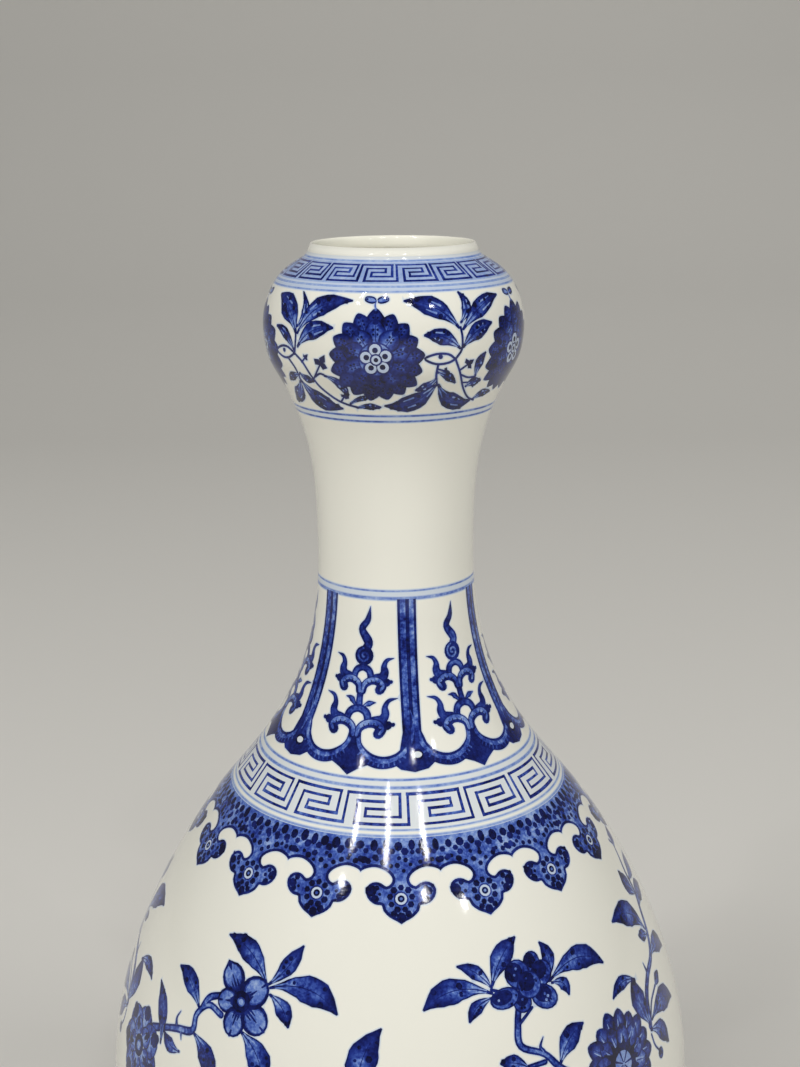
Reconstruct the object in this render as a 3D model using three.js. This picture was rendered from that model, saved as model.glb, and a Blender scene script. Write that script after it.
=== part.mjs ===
// A garlic-mouth vase of blue-and-white porcelain, in millimetres, standing on Z = 0 with its axis on +Z.
// It is thrown as round sections, trimmed flat at their edges and luted edge to edge with a layer of slip.
import * as THREE from "three";

// The outline's levels, each a rise above the one before it.
const FOOT_HEIGHT = 7;
const GIRTH_RISE = 54;
const SHOULDER_RISE = 80;
const NECK_RISE = 61;
const FLARE_RISE = 42.6;
const BULB_RISE = 16.4;
const CROWN_RISE = 12.7;
const COLLAR_RISE = 2.66;

// Outside radii at those levels.
const FOOT_RADIUS = 48.6;
const GIRTH_RADIUS = 77.2;
const SHOULDER_RADIUS = 44.5;
const NECK_RADIUS = 19.8;
const FLARE_RADIUS = 27;
const BULB_RADIUS = 32.2;
const CROWN_RADIUS = 26.6;
const MOUTH_RADIUS = 21;

// Slopes of the outline above the horizontal, in degrees.
const BELLY_SLOPE = 36;
const SHOULDER_SLOPE = 50.4;
const FLARE_SLOPE = 63.2;
const CROWN_SLOPE = 33;

// How far each curve keeps its direction as it leaves a height: the longer, the fuller the swell there.
const BELLY_FULLNESS = 20;
const GIRTH_FULLNESS_BELOW = 27;
const GIRTH_FULLNESS_ABOVE = 26.9;
const SHOULDER_FULLNESS_BELOW = 28.6;
const SHOULDER_FULLNESS_ABOVE = 18.5;
const NECK_FULLNESS_BELOW = 32;
const NECK_FULLNESS_ABOVE = 18.3;
const FLARE_FULLNESS_BELOW = 14.3;
const FLARE_FULLNESS_ABOVE = 7.5;
const BULB_FULLNESS_BELOW = 9.3;
const BULB_FULLNESS_ABOVE = 6.3;
const CROWN_FULLNESS = 2.1;

// Wall thickness, square to the surface.
const BELLY_WALL = 5;
const GIRTH_WALL = 4.2;
const SHOULDER_WALL = 4;
const NECK_WALL = 3.4;
const BULB_WALL = 2.8;
const MOUTH_WALL = 1.7;

// The upright collar of the mouth, the floor, and the foot, which widens towards the body.
const COLLAR_FILLET = 1.3;
const FLOOR_THICKNESS = 6;
const FLOOR_FILLET = 12;
const FOOT_WALL = 5.2;
const FOOT_WIDENING = 1.2;
const FOOT_EDGE_ROUND = 1.5;

// Seams: how far from a level two sections are luted, and the slip between them with its low bead inside.
const GIRTH_SEAM_RISE = 5;
const SHOULDER_SEAM_RISE = 11.8;
const BULB_SEAT_SEAM_DROP = 4.6;
const SLIP_THICKNESS = 0.5;
const BEAD_HEIGHT = 3;
const BEAD_PROUD = 0.8;

// Fineness of the faceted solids.
const RADIAL_SEGMENTS = 48;
const BODY_STEP = 8;
const MOUTH_STEP = 4.5;
const FILLET_STEPS = 3;
const ROUND_STEPS = 4;

// Outline points nearer than this to a cut, or to the edge of a bead, are left out.
const NEAR_CUT = 0.2;
const NEAR_BEAD = 1;

const GLAZED_WHITE = { color: "#e9e9e0", roughness: 0.12, metalness: 0 };
const BARE_BISCUIT = { color: "#e2d3bd", roughness: 0.75, metalness: 0 };

const footTopRadius = FOOT_RADIUS + FOOT_WIDENING;
const girthHeight = FOOT_HEIGHT + GIRTH_RISE;
const shoulderHeight = girthHeight + SHOULDER_RISE;
const neckHeight = shoulderHeight + NECK_RISE;
const flareHeight = neckHeight + FLARE_RISE;
const bulbHeight = flareHeight + BULB_RISE;
const crownHeight = bulbHeight + CROWN_RISE;

const at = (radius, height) => new THREE.Vector2(radius, height);

// A unit step up the outline, leaning inwards or outwards at a slope above the horizontal.
function heading(slope, side) {
  const angle = THREE.MathUtils.degToRad(slope);
  return at(side * Math.cos(angle), Math.sin(angle));
}

// One swell of the outline between two points, leaving and arriving along the given directions.
function swell(from, fromWay, fromFullness, to, toWay, toFullness) {
  const leave = from.clone().addScaledVector(fromWay, fromFullness);
  const arrive = to.clone().addScaledVector(toWay, -toFullness);
  return new THREE.CubicBezierCurve(from, leave, arrive, to);
}

function sampled(curve, step) {
  return curve.getPoints(Math.max(1, Math.ceil(curve.getLength() / step)));
}

// The corner where the straight crown would meet the upright collar, and the total height above it.
const closing = heading(CROWN_SLOPE, -1);
const crownSlope = Math.tan(THREE.MathUtils.degToRad(CROWN_SLOPE));
const collarFoot = at(MOUTH_RADIUS, crownHeight + (CROWN_RADIUS - MOUTH_RADIUS) * crownSlope);
const totalHeight = collarFoot.y + COLLAR_RISE;

// The whole outside, from the top of the foot to the start of the lip's round edge.
function outsideOutline() {
  const up = at(0, 1);
  const belly = at(footTopRadius, FOOT_HEIGHT);
  const girth = at(GIRTH_RADIUS, girthHeight);
  const shoulder = at(SHOULDER_RADIUS, shoulderHeight);
  const neck = at(NECK_RADIUS, neckHeight);
  const flare = at(FLARE_RADIUS, flareHeight);
  const bulb = at(BULB_RADIUS, bulbHeight);
  const crown = at(CROWN_RADIUS, crownHeight);
  const outwards = heading(BELLY_SLOPE, 1);
  const inwards = heading(SHOULDER_SLOPE, -1);
  const flaring = heading(FLARE_SLOPE, 1);
  const swells = [
    sampled(swell(belly, outwards, BELLY_FULLNESS, girth, up, GIRTH_FULLNESS_BELOW), BODY_STEP),
    sampled(swell(girth, up, GIRTH_FULLNESS_ABOVE, shoulder, inwards, SHOULDER_FULLNESS_BELOW), BODY_STEP),
    sampled(swell(shoulder, inwards, SHOULDER_FULLNESS_ABOVE, neck, up, NECK_FULLNESS_BELOW), BODY_STEP),
    sampled(swell(neck, up, NECK_FULLNESS_ABOVE, flare, flaring, FLARE_FULLNESS_BELOW), BODY_STEP),
    sampled(swell(flare, flaring, FLARE_FULLNESS_ABOVE, bulb, up, BULB_FULLNESS_BELOW), MOUTH_STEP),
    sampled(swell(bulb, up, BULB_FULLNESS_ABOVE, crown, closing, CROWN_FULLNESS), MOUTH_STEP),
  ];
  // The crown runs straight until its fillet turns it up into the collar.
  const collarFillet = new THREE.QuadraticBezierCurve(
    collarFoot.clone().addScaledVector(closing, -COLLAR_FILLET),
    collarFoot,
    collarFoot.clone().addScaledVector(up, COLLAR_FILLET),
  );
  return [belly, ...swells.flatMap((points) => points.slice(1)), ...collarFillet.getPoints(FILLET_STEPS)];
}

// Wall thickness at a height, eased straight from one named height to the next.
const WALLS = [
  [FOOT_HEIGHT, BELLY_WALL],
  [girthHeight, GIRTH_WALL],
  [shoulderHeight, SHOULDER_WALL],
  [neckHeight, NECK_WALL],
  [bulbHeight, BULB_WALL],
  [crownHeight, MOUTH_WALL],
];
function wallAt(height) {
  const above = WALLS.findIndex(([level]) => level > height);
  if (above < 0) return WALLS.at(-1)[1];
  const [[low, from], [high, to]] = WALLS.slice(above - 1, above + 1);
  return from + ((to - from) * (height - low)) / (high - low);
}

// The inside follows every second point of the outside, one wall thickness in, square to the surface.
function insideOutline(outside) {
  const offset = outside.map((point, i) => {
    const before = outside[Math.max(i - 1, 0)];
    const after = outside[Math.min(i + 1, outside.length - 1)];
    const along = after.clone().sub(before).normalize();
    return point.clone().addScaledVector(at(-along.y, along.x), wallAt(point.y));
  });
  return offset.filter((_, i) => i % 2 === 0 || i === offset.length - 1);
}

// The point of an outline at a height, on the straight between its neighbours.
function pointAt(outline, height) {
  const i = outline.findIndex((point, n) => n > 0 && point.y >= height && outline[n - 1].y <= height);
  const below = outline[i - 1];
  return below.clone().lerp(outline[i], (height - below.y) / (outline[i].y - below.y));
}

// The stretch of an outline between two heights, ending exactly on both.
function stretch(outline, low, high) {
  const between = outline.filter((point) => point.y > low + NEAR_CUT && point.y < high - NEAR_CUT);
  return [pointAt(outline, low), ...between, pointAt(outline, high)];
}

const closed = (loop) => [...loop, loop[0].clone()];

// A round solid. Its profile is a closed loop, or starts and ends on the axis, and runs up the outside.
function turned(name, profile, finish) {
  const mesh = new THREE.Mesh(
    new THREE.LatheGeometry(profile, RADIAL_SEGMENTS),
    new THREE.MeshStandardMaterial(finish),
  );
  mesh.name = name;
  mesh.geometry.rotateX(Math.PI / 2);
  return mesh;
}

const outside = outsideOutline();
const inside = insideOutline(outside);
const halfSlip = SLIP_THICKNESS / 2;
const halfBead = BEAD_HEIGHT / 2;
const floorHeight = FOOT_HEIGHT + FLOOR_THICKNESS;
const footInnerRadius = FOOT_RADIUS - FOOT_WALL;
const girthSeam = girthHeight + GIRTH_SEAM_RISE;
const shoulderSeam = shoulderHeight + SHOULDER_SEAM_RISE;
const bulbSeatSeam = flareHeight - BULB_SEAT_SEAM_DROP;
const bulbSeam = bulbHeight;

// The inside between two heights, with a corner at the edge of each bead of slip.
function insideStretch(low, high, beadEdges) {
  const corners = beadEdges.map((height) => pointAt(inside, height));
  const near = (point) => corners.some((corner) => Math.abs(corner.y - point.y) < NEAR_BEAD);
  const between = stretch(inside, low, high)
    .slice(1, -1)
    .filter((point) => !near(point));
  const ends = [pointAt(inside, low), pointAt(inside, high)];
  return [...ends, ...between, ...corners].sort((a, b) => a.y - b.y);
}

// A thrown section between two seams: up the outside and down the inside.
function section(name, lowerSeam, upperSeam) {
  const low = lowerSeam + halfSlip;
  const high = upperSeam - halfSlip;
  const inner = insideStretch(low, high, [lowerSeam + halfBead, upperSeam - halfBead]);
  return turned(name, closed([...stretch(outside, low, high), ...inner.reverse()]), GLAZED_WHITE);
}

// The layer of slip in a seam, with the low bead that it leaves inside.
function slipRing(name, height) {
  const low = height - halfSlip;
  const high = height + halfSlip;
  const inner = [height - halfBead, low, high, height + halfBead].map((level) => pointAt(inside, level));
  const crest = pointAt(inside, height).add(at(-BEAD_PROUD, 0));
  const loop = [
    inner[1],
    pointAt(outside, low),
    pointAt(outside, high),
    inner[2],
    inner[3],
    crest,
    inner[0],
  ];
  return turned(name, closed(loop), GLAZED_WHITE);
}

// The foot: a tapered ring with a rounded, bare edge to stand on.
function footRing() {
  const round = FOOT_EDGE_ROUND;
  const edge = (centre, start) =>
    Array.from({ length: ROUND_STEPS }, (_, i) => {
      const angle = start + (i / (ROUND_STEPS - 1)) * (Math.PI / 2);
      return at(centre + round * Math.cos(angle), round + round * Math.sin(angle));
    });
  const loop = [
    ...edge(footInnerRadius + round, Math.PI),
    ...edge(FOOT_RADIUS - round, 1.5 * Math.PI),
    at(footTopRadius, FOOT_HEIGHT - SLIP_THICKNESS),
    at(footInnerRadius, FOOT_HEIGHT - SLIP_THICKNESS),
  ];
  return turned("foot_ring", closed(loop), BARE_BISCUIT);
}

function footSlip() {
  const loop = [
    at(footInnerRadius, FOOT_HEIGHT - SLIP_THICKNESS),
    at(footTopRadius, FOOT_HEIGHT - SLIP_THICKNESS),
    at(footTopRadius, FOOT_HEIGHT),
    at(footInnerRadius, FOOT_HEIGHT),
  ];
  return turned("luting_slip_foot", closed(loop), GLAZED_WHITE);
}

// The lower body is a bowl: its floor rounds up into the wall, and its underside is flat inside the foot.
function lowerBody() {
  const high = girthSeam - halfSlip;
  const corner = pointAt(inside, floorHeight);
  const wallFoot = pointAt(inside, floorHeight + FLOOR_FILLET / 2);
  const floorEdge = corner.clone().sub(at(FLOOR_FILLET, 0));
  const fillet = new THREE.QuadraticBezierCurve(floorEdge, corner, wallFoot).getPoints(FILLET_STEPS);
  const wall = insideStretch(wallFoot.y, high, [girthSeam - halfBead]).slice(1);
  const profile = [
    at(0, FOOT_HEIGHT),
    ...stretch(outside, FOOT_HEIGHT, high),
    ...[...fillet, ...wall].reverse(),
    at(0, floorHeight),
  ];
  return turned("lower_body", profile, GLAZED_WHITE);
}

// The upper bowl of the bulb ends in the collar and its rounded lip.
function upperBulb() {
  const low = bulbSeam + halfSlip;
  const lipRound = MOUTH_WALL / 2;
  const centre = at(MOUTH_RADIUS - lipRound, totalHeight - lipRound);
  const lip = Array.from({ length: 2 * ROUND_STEPS - 1 }, (_, i) => {
    const angle = (i / (2 * ROUND_STEPS - 2)) * Math.PI;
    return at(Math.cos(angle), Math.sin(angle)).multiplyScalar(lipRound).add(centre);
  });
  const outer = stretch(outside, low, outside.at(-1).y);
  const inner = insideStretch(low, inside.at(-1).y, [bulbSeam + halfBead]);
  return turned("bulb_upper", closed([...outer, ...lip, ...inner.reverse()]), GLAZED_WHITE);
}

const vase = new THREE.Group();
vase.add(
  footRing(),
  footSlip(),
  lowerBody(),
  slipRing("luting_slip_girth", girthSeam),
  section("upper_body", girthSeam, shoulderSeam),
  slipRing("luting_slip_shoulder", shoulderSeam),
  section("neck", shoulderSeam, bulbSeatSeam),
  slipRing("luting_slip_bulb_seat", bulbSeatSeam),
  section("bulb_lower", bulbSeatSeam, bulbSeam),
  slipRing("luting_slip_bulb", bulbSeam),
  upperBulb(),
);

export default vase;
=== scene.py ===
# A garlic-mouth vase of blue-and-white porcelain: thrown sections with a glazed skin that is painted in cobalt.
import math
import random

import bmesh
import bpy
import numpy as np
from mathutils import Matrix, Vector
from mathutils.geometry import delaunay_2d_cdt
from mathutils.kdtree import KDTree


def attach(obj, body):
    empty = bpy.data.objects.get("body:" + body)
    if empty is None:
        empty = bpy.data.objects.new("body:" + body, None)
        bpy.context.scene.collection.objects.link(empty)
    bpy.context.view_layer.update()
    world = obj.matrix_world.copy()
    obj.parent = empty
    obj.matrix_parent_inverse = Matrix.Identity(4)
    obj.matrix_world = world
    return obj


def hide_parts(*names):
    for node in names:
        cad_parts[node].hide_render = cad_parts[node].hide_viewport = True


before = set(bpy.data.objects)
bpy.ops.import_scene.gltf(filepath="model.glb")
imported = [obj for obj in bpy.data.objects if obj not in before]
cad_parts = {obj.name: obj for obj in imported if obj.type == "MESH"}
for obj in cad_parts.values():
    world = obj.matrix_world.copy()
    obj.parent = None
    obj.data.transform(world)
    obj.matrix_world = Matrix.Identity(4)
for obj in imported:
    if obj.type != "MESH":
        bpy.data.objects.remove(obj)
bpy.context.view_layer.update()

MM = 0.001
TURN = 2 * math.pi
random.seed(7)

# Heights in millimetres above the table that the sections and the painted bands keep to.
FOOT_TOP = 7
GIRTH_SEAM = 66
SHOULDER_SEAM = 152.8
BULB_SEAT_SEAM = 240
BULB_SEAM = 261
LIP_TOP = 280
# The skin's upright divisions all round, which neighbouring sections share.
COLUMNS = 192


# --- The photograph's camera ---

PHOTO_HEIGHT = 1067
FOCAL_PIXELS = 1746
SENSOR_LONG_SIDE = 36
CAMERA_DISTANCE, CAMERA_HEIGHT = 431.6, 313.6
CAMERA_PITCH, CAMERA_YAW, CAMERA_ROLL = 13.956, 0.151, -0.481


def add_camera():
    pitch, yaw, roll = (math.radians(a) for a in (CAMERA_PITCH, CAMERA_YAW, CAMERA_ROLL))
    ahead = Vector((math.sin(yaw) * math.cos(pitch), math.cos(yaw) * math.cos(pitch), -math.sin(pitch)))
    level = Vector((math.cos(yaw), -math.sin(yaw), 0))
    above = level.cross(ahead)
    right = level * math.cos(roll) + above * math.sin(roll)
    up = above * math.cos(roll) - level * math.sin(roll)
    data = bpy.data.cameras.new("camera")
    data.sensor_width = SENSOR_LONG_SIDE
    data.lens = FOCAL_PIXELS / PHOTO_HEIGHT * SENSOR_LONG_SIDE
    data.clip_start = 0.01
    camera = bpy.data.objects.new("camera", data)
    turned = Matrix((right, up, -ahead)).transposed().to_4x4()
    camera.matrix_world = Matrix.Translation((0, -CAMERA_DISTANCE * MM, CAMERA_HEIGHT * MM)) @ turned
    bpy.context.collection.objects.link(camera)
    bpy.context.scene.camera = camera


# --- Colours and materials ---

GLAZE_IOR, CLAY_IOR = 1.52, 1.5
PAINTED_ROUGHNESS, INSIDE_ROUGHNESS, CLAY_ROUGHNESS, PAPER_ROUGHNESS = 0.07, 0.1, 0.78, 0.9
# How many millimetres the unevenness of each surface is across.
HEAPS, POOLS, LONG_WAVES, SHORT_WAVES, CLOUDS, TOAST, PITS = 0.95, 4.5, 14, 9, 30, 5, 0.5
# How deep the waves and the fine grain are, in millimetres.
WAVE_DEPTH, GRAIN_DEPTH = 0.4, 0.05
# How the fired blue looks as the cobalt under the glaze gets thicker: bare, bleed, pale wash, wash, line, piled.
COBALT = [
    (0.0, "#e6e4d8"), (0.16, "#c4ceda"), (0.34, "#889ecb"), (0.5, "#5873b8"),
    (0.62, "#38519f"), (0.76, "#1d2f80"), (0.88, "#0f1a5c"), (1.0, "#07092e"),
]
# The inside's glaze colour, made paler than the outside's: its own tone, lightened further as painted light for the
# inside of the mouth.
INSIDE_GLAZE_AND_PAINTED_LIGHT = [(0.3, "#e4e2d2"), (0.7, "#f6f3e4")]
TOASTED_CLAY = [(0.35, "#c9ab86"), (0.65, "#e6dac6")]
BACKDROP_PAPER = "#d9d6cf"
STUDIO_WALLS = "#d6d8da"


def linear(hex_colour):
    """An sRGB hex colour as linear red, green, blue and alpha."""
    parts = [int(hex_colour[i : i + 2], 16) / 255 for i in (1, 3, 5)]
    return tuple(c / 12.92 if c <= 0.04045 else ((c + 0.055) / 1.055) ** 2.4 for c in parts) + (1,)


def add_node(material, kind, settings=(), **inputs):
    """Adds a node with its settings. An input is a value, or another node's output to link.
    An input called _0 is the node's first one, and so on."""
    node = material.node_tree.nodes.new(kind)
    for name, value in dict(settings).items():
        setattr(node, name, value)
    for name, value in inputs.items():
        socket = node.inputs[int(name[1:])] if name[0] == "_" else node.inputs[name.replace("_", " ")]
        if isinstance(value, bpy.types.NodeSocket):
            material.node_tree.links.new(value, socket)
        else:
            socket.default_value = value
    return node


def new_material(name):
    material = bpy.data.materials.new(name)
    material.use_nodes = True
    material.node_tree.nodes.clear()
    return material


def object_place(material):
    return add_node(material, "ShaderNodeTexCoord").outputs["Object"]


def noise(material, place, size, detail, **more):
    """An uneven pattern whose features are about this many millimetres across."""
    scale = 1000 / size
    return add_node(material, "ShaderNodeTexNoise", Vector=place, Scale=scale, Detail=detail, **more).outputs["Fac"]


def ranged(material, value, from_low, from_high, to_low, to_high):
    """The value, moved from one range to another and kept inside it."""
    ends = {"_1": from_low, "_2": from_high, "_3": to_low, "_4": to_high}
    return add_node(material, "ShaderNodeMapRange", _0=value, **ends).outputs[0]


def calculated(material, operation, *terms):
    inputs = {"_%d" % i: term for i, term in enumerate(terms)}
    return add_node(material, "ShaderNodeMath", {"operation": operation}, **inputs).outputs[0]


def tinted(material, value, stops):
    """The value as a colour, through a ramp of (position, colour) stops."""
    node = add_node(material, "ShaderNodeValToRGB", _0=value)
    elements = node.color_ramp.elements
    while len(elements) < len(stops):
        elements.new(0.5)
    for element, (position, colour) in zip(elements, stops):
        element.position = position
        element.color = linear(colour)
    return node.outputs["Color"]


def bumps(material, strength, depth, height, **more):
    inputs = dict(Strength=strength, Distance=depth * MM, Height=height, **more)
    return add_node(material, "ShaderNodeBump", **inputs).outputs[0]


def surfaced(material, **inputs):
    """The material with its surface, which shows these colours, roughness and bumps."""
    surface = add_node(material, "ShaderNodeBsdfPrincipled", **inputs)
    output = material.node_tree.nodes.new("ShaderNodeOutputMaterial")
    material.node_tree.links.new(surface.outputs[0], output.inputs["Surface"])
    return material


def painted_glaze(name, grain_strength):
    """Clear feldspathic glaze over white porcelain, glossy.
    The cobalt's thickness is the skin's own attribute. It gathers in small dark heaps where it was laid on wet."""
    material = new_material(name)
    place = object_place(material)
    thickness = add_node(material, "ShaderNodeAttribute", {"attribute_name": "cobalt"}).outputs["Fac"]
    heaps = noise(material, place, HEAPS, 3.0, Roughness=0.6)
    pools = noise(material, place, POOLS, 2.0)
    grain = calculated(material, "ADD", heaps, pools)
    spread = ranged(material, grain, 0.72, 1.28, -0.28, 0.28)
    # The heaps show in the laid-on blue, fade out in the bare glaze and hardly show in a full brush's dark line.
    wet = ranged(material, thickness, 0.25, 0.6, 0.0, 1.0)
    full = ranged(material, thickness, 0.66, 0.84, 1.0, 0.35)
    uneven = calculated(material, "MULTIPLY", wet, full)
    varied = calculated(material, "MULTIPLY_ADD", spread, uneven, thickness)
    colour = tinted(material, varied, COBALT)
    # The glaze surface: long shallow waves from the brush and the fire, and a fine roughness over the heaps.
    wavy = bumps(material, 0.12, WAVE_DEPTH, noise(material, place, LONG_WAVES, 1.0))
    bumpy = bumps(material, grain_strength, GRAIN_DEPTH, heaps, Normal=wavy)
    return surfaced(material, Base_Color=colour, Roughness=PAINTED_ROUGHNESS, IOR=GLAZE_IOR, Normal=bumpy)


def plain_glaze(name):
    """The clear glaze inside the vase and on the slip, with nothing painted under it. Its colour is paler than the
    outside's glaze, partly as painted light for the brightly lit inside of the mouth.
    """
    material = new_material(name)
    place = object_place(material)
    colour = tinted(material, noise(material, place, CLOUDS, 3.0), INSIDE_GLAZE_AND_PAINTED_LIGHT)
    wavy = bumps(material, 0.2, WAVE_DEPTH, noise(material, place, SHORT_WAVES, 1.0))
    return surfaced(material, Base_Color=colour, Roughness=INSIDE_ROUGHNESS, IOR=GLAZE_IOR, Normal=wavy)


def bare_biscuit(name):
    """Unglazed porcelain at the foot's edge: matt, slightly toasted, with the fine pits of a turned surface."""
    material = new_material(name)
    place = object_place(material)
    colour = tinted(material, noise(material, place, TOAST, 4.0), TOASTED_CLAY)
    pitted = bumps(material, 0.5, GRAIN_DEPTH, noise(material, place, PITS, 2.0))
    return surfaced(material, Base_Color=colour, Roughness=CLAY_ROUGHNESS, IOR=CLAY_IOR, Normal=pitted)


# --- The vase's outline, read from the solids ---


def wall_points(node, side):
    """The (radius, height) points of a solid's outer (1) or inner (-1) wall, from the bottom up, in millimetres."""
    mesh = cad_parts[node].data
    found = set()
    for face in mesh.polygons:
        lean = face.normal.x * face.center.x + face.normal.y * face.center.y
        if side * lean > 0.05 * math.hypot(face.center.x, face.center.y):
            for v in face.vertices:
                x, y, z = mesh.vertices[v].co
                found.add((round(math.hypot(x, y) / MM, 2), round(z / MM, 2)))
    return sorted(found, key=lambda point: point[1])


def natural_spline(points, step):
    """A smooth curve through the points, evenly stepped: the natural cubic spline over their chord lengths."""
    points = np.array(points, float)
    t = np.concatenate([[0], np.cumsum(np.linalg.norm(np.diff(points, axis=0), axis=1))])
    h = np.diff(t)
    n = len(points)
    system = np.eye(n)
    right = np.zeros((n, 2))
    for i in range(1, n - 1):
        system[i, i - 1 : i + 2] = h[i - 1], 2 * (h[i - 1] + h[i]), h[i]
        right[i] = 6 * ((points[i + 1] - points[i]) / h[i] - (points[i] - points[i - 1]) / h[i - 1])
    bend = np.linalg.solve(system, right)
    at = np.linspace(0, t[-1], max(2, int(t[-1] / step) + 1))
    i = np.clip(np.searchsorted(t, at, side="right") - 1, 0, n - 2)
    a, b = ((t[i + 1] - at) / h[i])[:, None], ((at - t[i]) / h[i])[:, None]
    curve = a * points[i] + b * points[i + 1]
    curve += ((a**3 - a) * bend[i] + (b**3 - b) * bend[i + 1]) * (h[i][:, None] ** 2) / 6
    return curve


SECTIONS = ["lower_body", "upper_body", "neck", "bulb_lower", "bulb_upper"]
SEAMS = [GIRTH_SEAM, SHOULDER_SEAM, BULB_SEAT_SEAM, BULB_SEAM]
# Where the foot's lower round ends, and where the smooth crown gives way to the lip, as heights in mm.
FOOT_ROUND_TOP = 1.4
CROWN_TOP = 276.5
# How far from a seam the outside's points must lie, since the cuts are on the solids' flat facets.
CUT_REACH = 0.6


def clear_of_seams(points, reach):
    """Without the points within reach of a seam, where the sections were cut and the beads lie."""
    return [p for p in points if all(abs(p[1] - seam) > reach for seam in SEAMS)]


foot_wall = wall_points("foot_ring", 1)
body_points = clear_of_seams([p for node in SECTIONS for p in wall_points(node, 1)], CUT_REACH)
body_points = sorted(set(body_points), key=lambda p: p[1])
crown_end = next(i for i, p in enumerate(body_points) if p[1] > CROWN_TOP)
sweep = natural_spline(body_points[: crown_end + 1], 0.5)
mouth = np.array(body_points[crown_end + 1 :])

# The outside from the foot's lower round to the top of the lip, and how far along it each point lies.
foot_side = np.array([p for p in foot_wall if p[1] >= FOOT_ROUND_TOP])
outline = np.concatenate([foot_side[:1], foot_side[-1:], [[sweep[0][0], FOOT_TOP - 0.01]], sweep, mouth])
along = np.concatenate([[0], np.cumsum(np.linalg.norm(np.diff(outline, axis=0), axis=1))])


def radius_at(s):
    return np.interp(s, along, outline[:, 0])


def height_at(s):
    return np.interp(s, along, outline[:, 1])


def way_to(z):
    """How far along the outside a height lies."""
    return float(np.interp(z, outline[:, 1], along))


def lean_at(s):
    """The outside's direction as (radius, height), smoothed over a millimetre."""
    step = 0.5
    a, b = np.clip(s - step, 0, along[-1]), np.clip(s + step, 0, along[-1])
    r, z = radius_at(b) - radius_at(a), height_at(b) - height_at(a)
    size = np.hypot(r, z)
    return r / size, z / size


# --- Painting on the unrolled outside ---

# The cobalt's thickness, from none to heaped.
BARE, BLEED, PALE, WASH, MID, DARK, PILED = 0.0, 0.2, 0.36, 0.46, 0.6, 0.86, 0.97
# The width of an inked outline, of the bleed beside it and of a step along a leaf, in mm.
LINE = 0.34
HEM = 0.45
LEAF_STEP = 1.35
# How many steps lie between the points of the inked scrolls.
STRAND_STEPS = 5

# The brushwork in the order it is laid down: flat shapes of (angle, way) corners, and the cobalt at each corner.
shapes_laid, cobalt_laid = [], []


def lay_box(left, bottom, right, top, cobalt):
    """A flat box between two angles in radians and two ways up."""
    shapes_laid.append(np.array([[left, bottom], [right, bottom], [right, top], [left, top]]))
    cobalt_laid.append(np.full(4, cobalt))


class Spot:
    """A place on the outside to paint at: an angle in degrees round from the front, a way up, and how what is drawn
    there is turned or flipped over. Points are in millimetres across and up from it."""

    def __init__(self, angle, way, turn=0.0, flip=1):
        self.angle, self.way, self.flip = math.radians(angle), way, flip
        self.cos, self.sin = math.cos(math.radians(turn)), math.sin(math.radians(turn))

    def lay(self, points):
        """The points as (angle, way) on the outside."""
        points = np.asarray(points, float).reshape(-1, 2)
        x = self.flip * (points[:, 0] * self.cos - points[:, 1] * self.sin)
        way = self.way + points[:, 0] * self.sin + points[:, 1] * self.cos
        return np.stack([self.angle + x / radius_at(way), way], axis=1)

    def fill(self, points, cobalt):
        shapes_laid.append(self.lay(points))
        cobalt_laid.append(np.broadcast_to(np.asarray(cobalt, float), (len(points),)))

    def strip(self, left, right, cobalt_left, cobalt_right=None):
        """A ribbon between two edges, one small quad after another."""
        n = len(left)
        a = np.broadcast_to(np.asarray(cobalt_left, float), (n,))
        b = a if cobalt_right is None else np.broadcast_to(np.asarray(cobalt_right, float), (n,))
        left, right = self.lay(left), self.lay(right)
        for i in range(n - 1):
            shapes_laid.append(np.array([left[i], left[i + 1], right[i + 1], right[i]]))
            cobalt_laid.append(np.array([a[i], a[i + 1], b[i + 1], b[i]]))

    def stroke(self, points, width, cobalt=DARK, steps=4, shift=0.0):
        """A brush stroke along a smooth line. Its width and its cobalt may change from start to end."""
        line = smooth(points, steps) if steps else np.asarray(points, float)
        t, side = spaced(line), sideways(line)
        wide = np.interp(t, np.linspace(0, 1, np.size(width)), np.ravel(width))
        thick = np.interp(t, np.linspace(0, 1, np.size(cobalt)), np.ravel(cobalt))
        line = line + side * shift
        self.strip(line + side * wide[:, None] / 2, line - side * wide[:, None] / 2, thick)
        for end in (0, -1):
            if wide[end] > 0.3:
                self.disc(line[end], wide[end] / 2, thick[end])

    def strands(self, strands, core=MID, edge=LINE):
        """Scrolls that run into each other: inked outlines first, then the wash that fills them all."""
        for points, width in strands:
            self.stroke(points, width, DARK, STRAND_STEPS)
        for points, width in strands:
            inside = np.maximum(np.asarray(width, float) - 2 * edge, 0.08)
            self.stroke(points, inside, core, STRAND_STEPS)

    def disc(self, centre, radius, cobalt, sides=10):
        self.fill(circle(centre, radius, sides), cobalt)

    def rings(self, rings, sides):
        """Discs of these (radius, cobalt) on the spot itself, the widest first."""
        for radius, cobalt in rings:
            self.disc((0, 0), radius, cobalt, sides)


def spaced(line):
    t = np.concatenate([[0], np.cumsum(np.linalg.norm(np.diff(line, axis=0), axis=1))])
    return t / t[-1]


def sideways(line):
    ahead = np.gradient(line, axis=0)
    ahead /= np.maximum(np.linalg.norm(ahead, axis=1), 1e-9)[:, None]
    return np.stack([-ahead[:, 1], ahead[:, 0]], axis=1)


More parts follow.
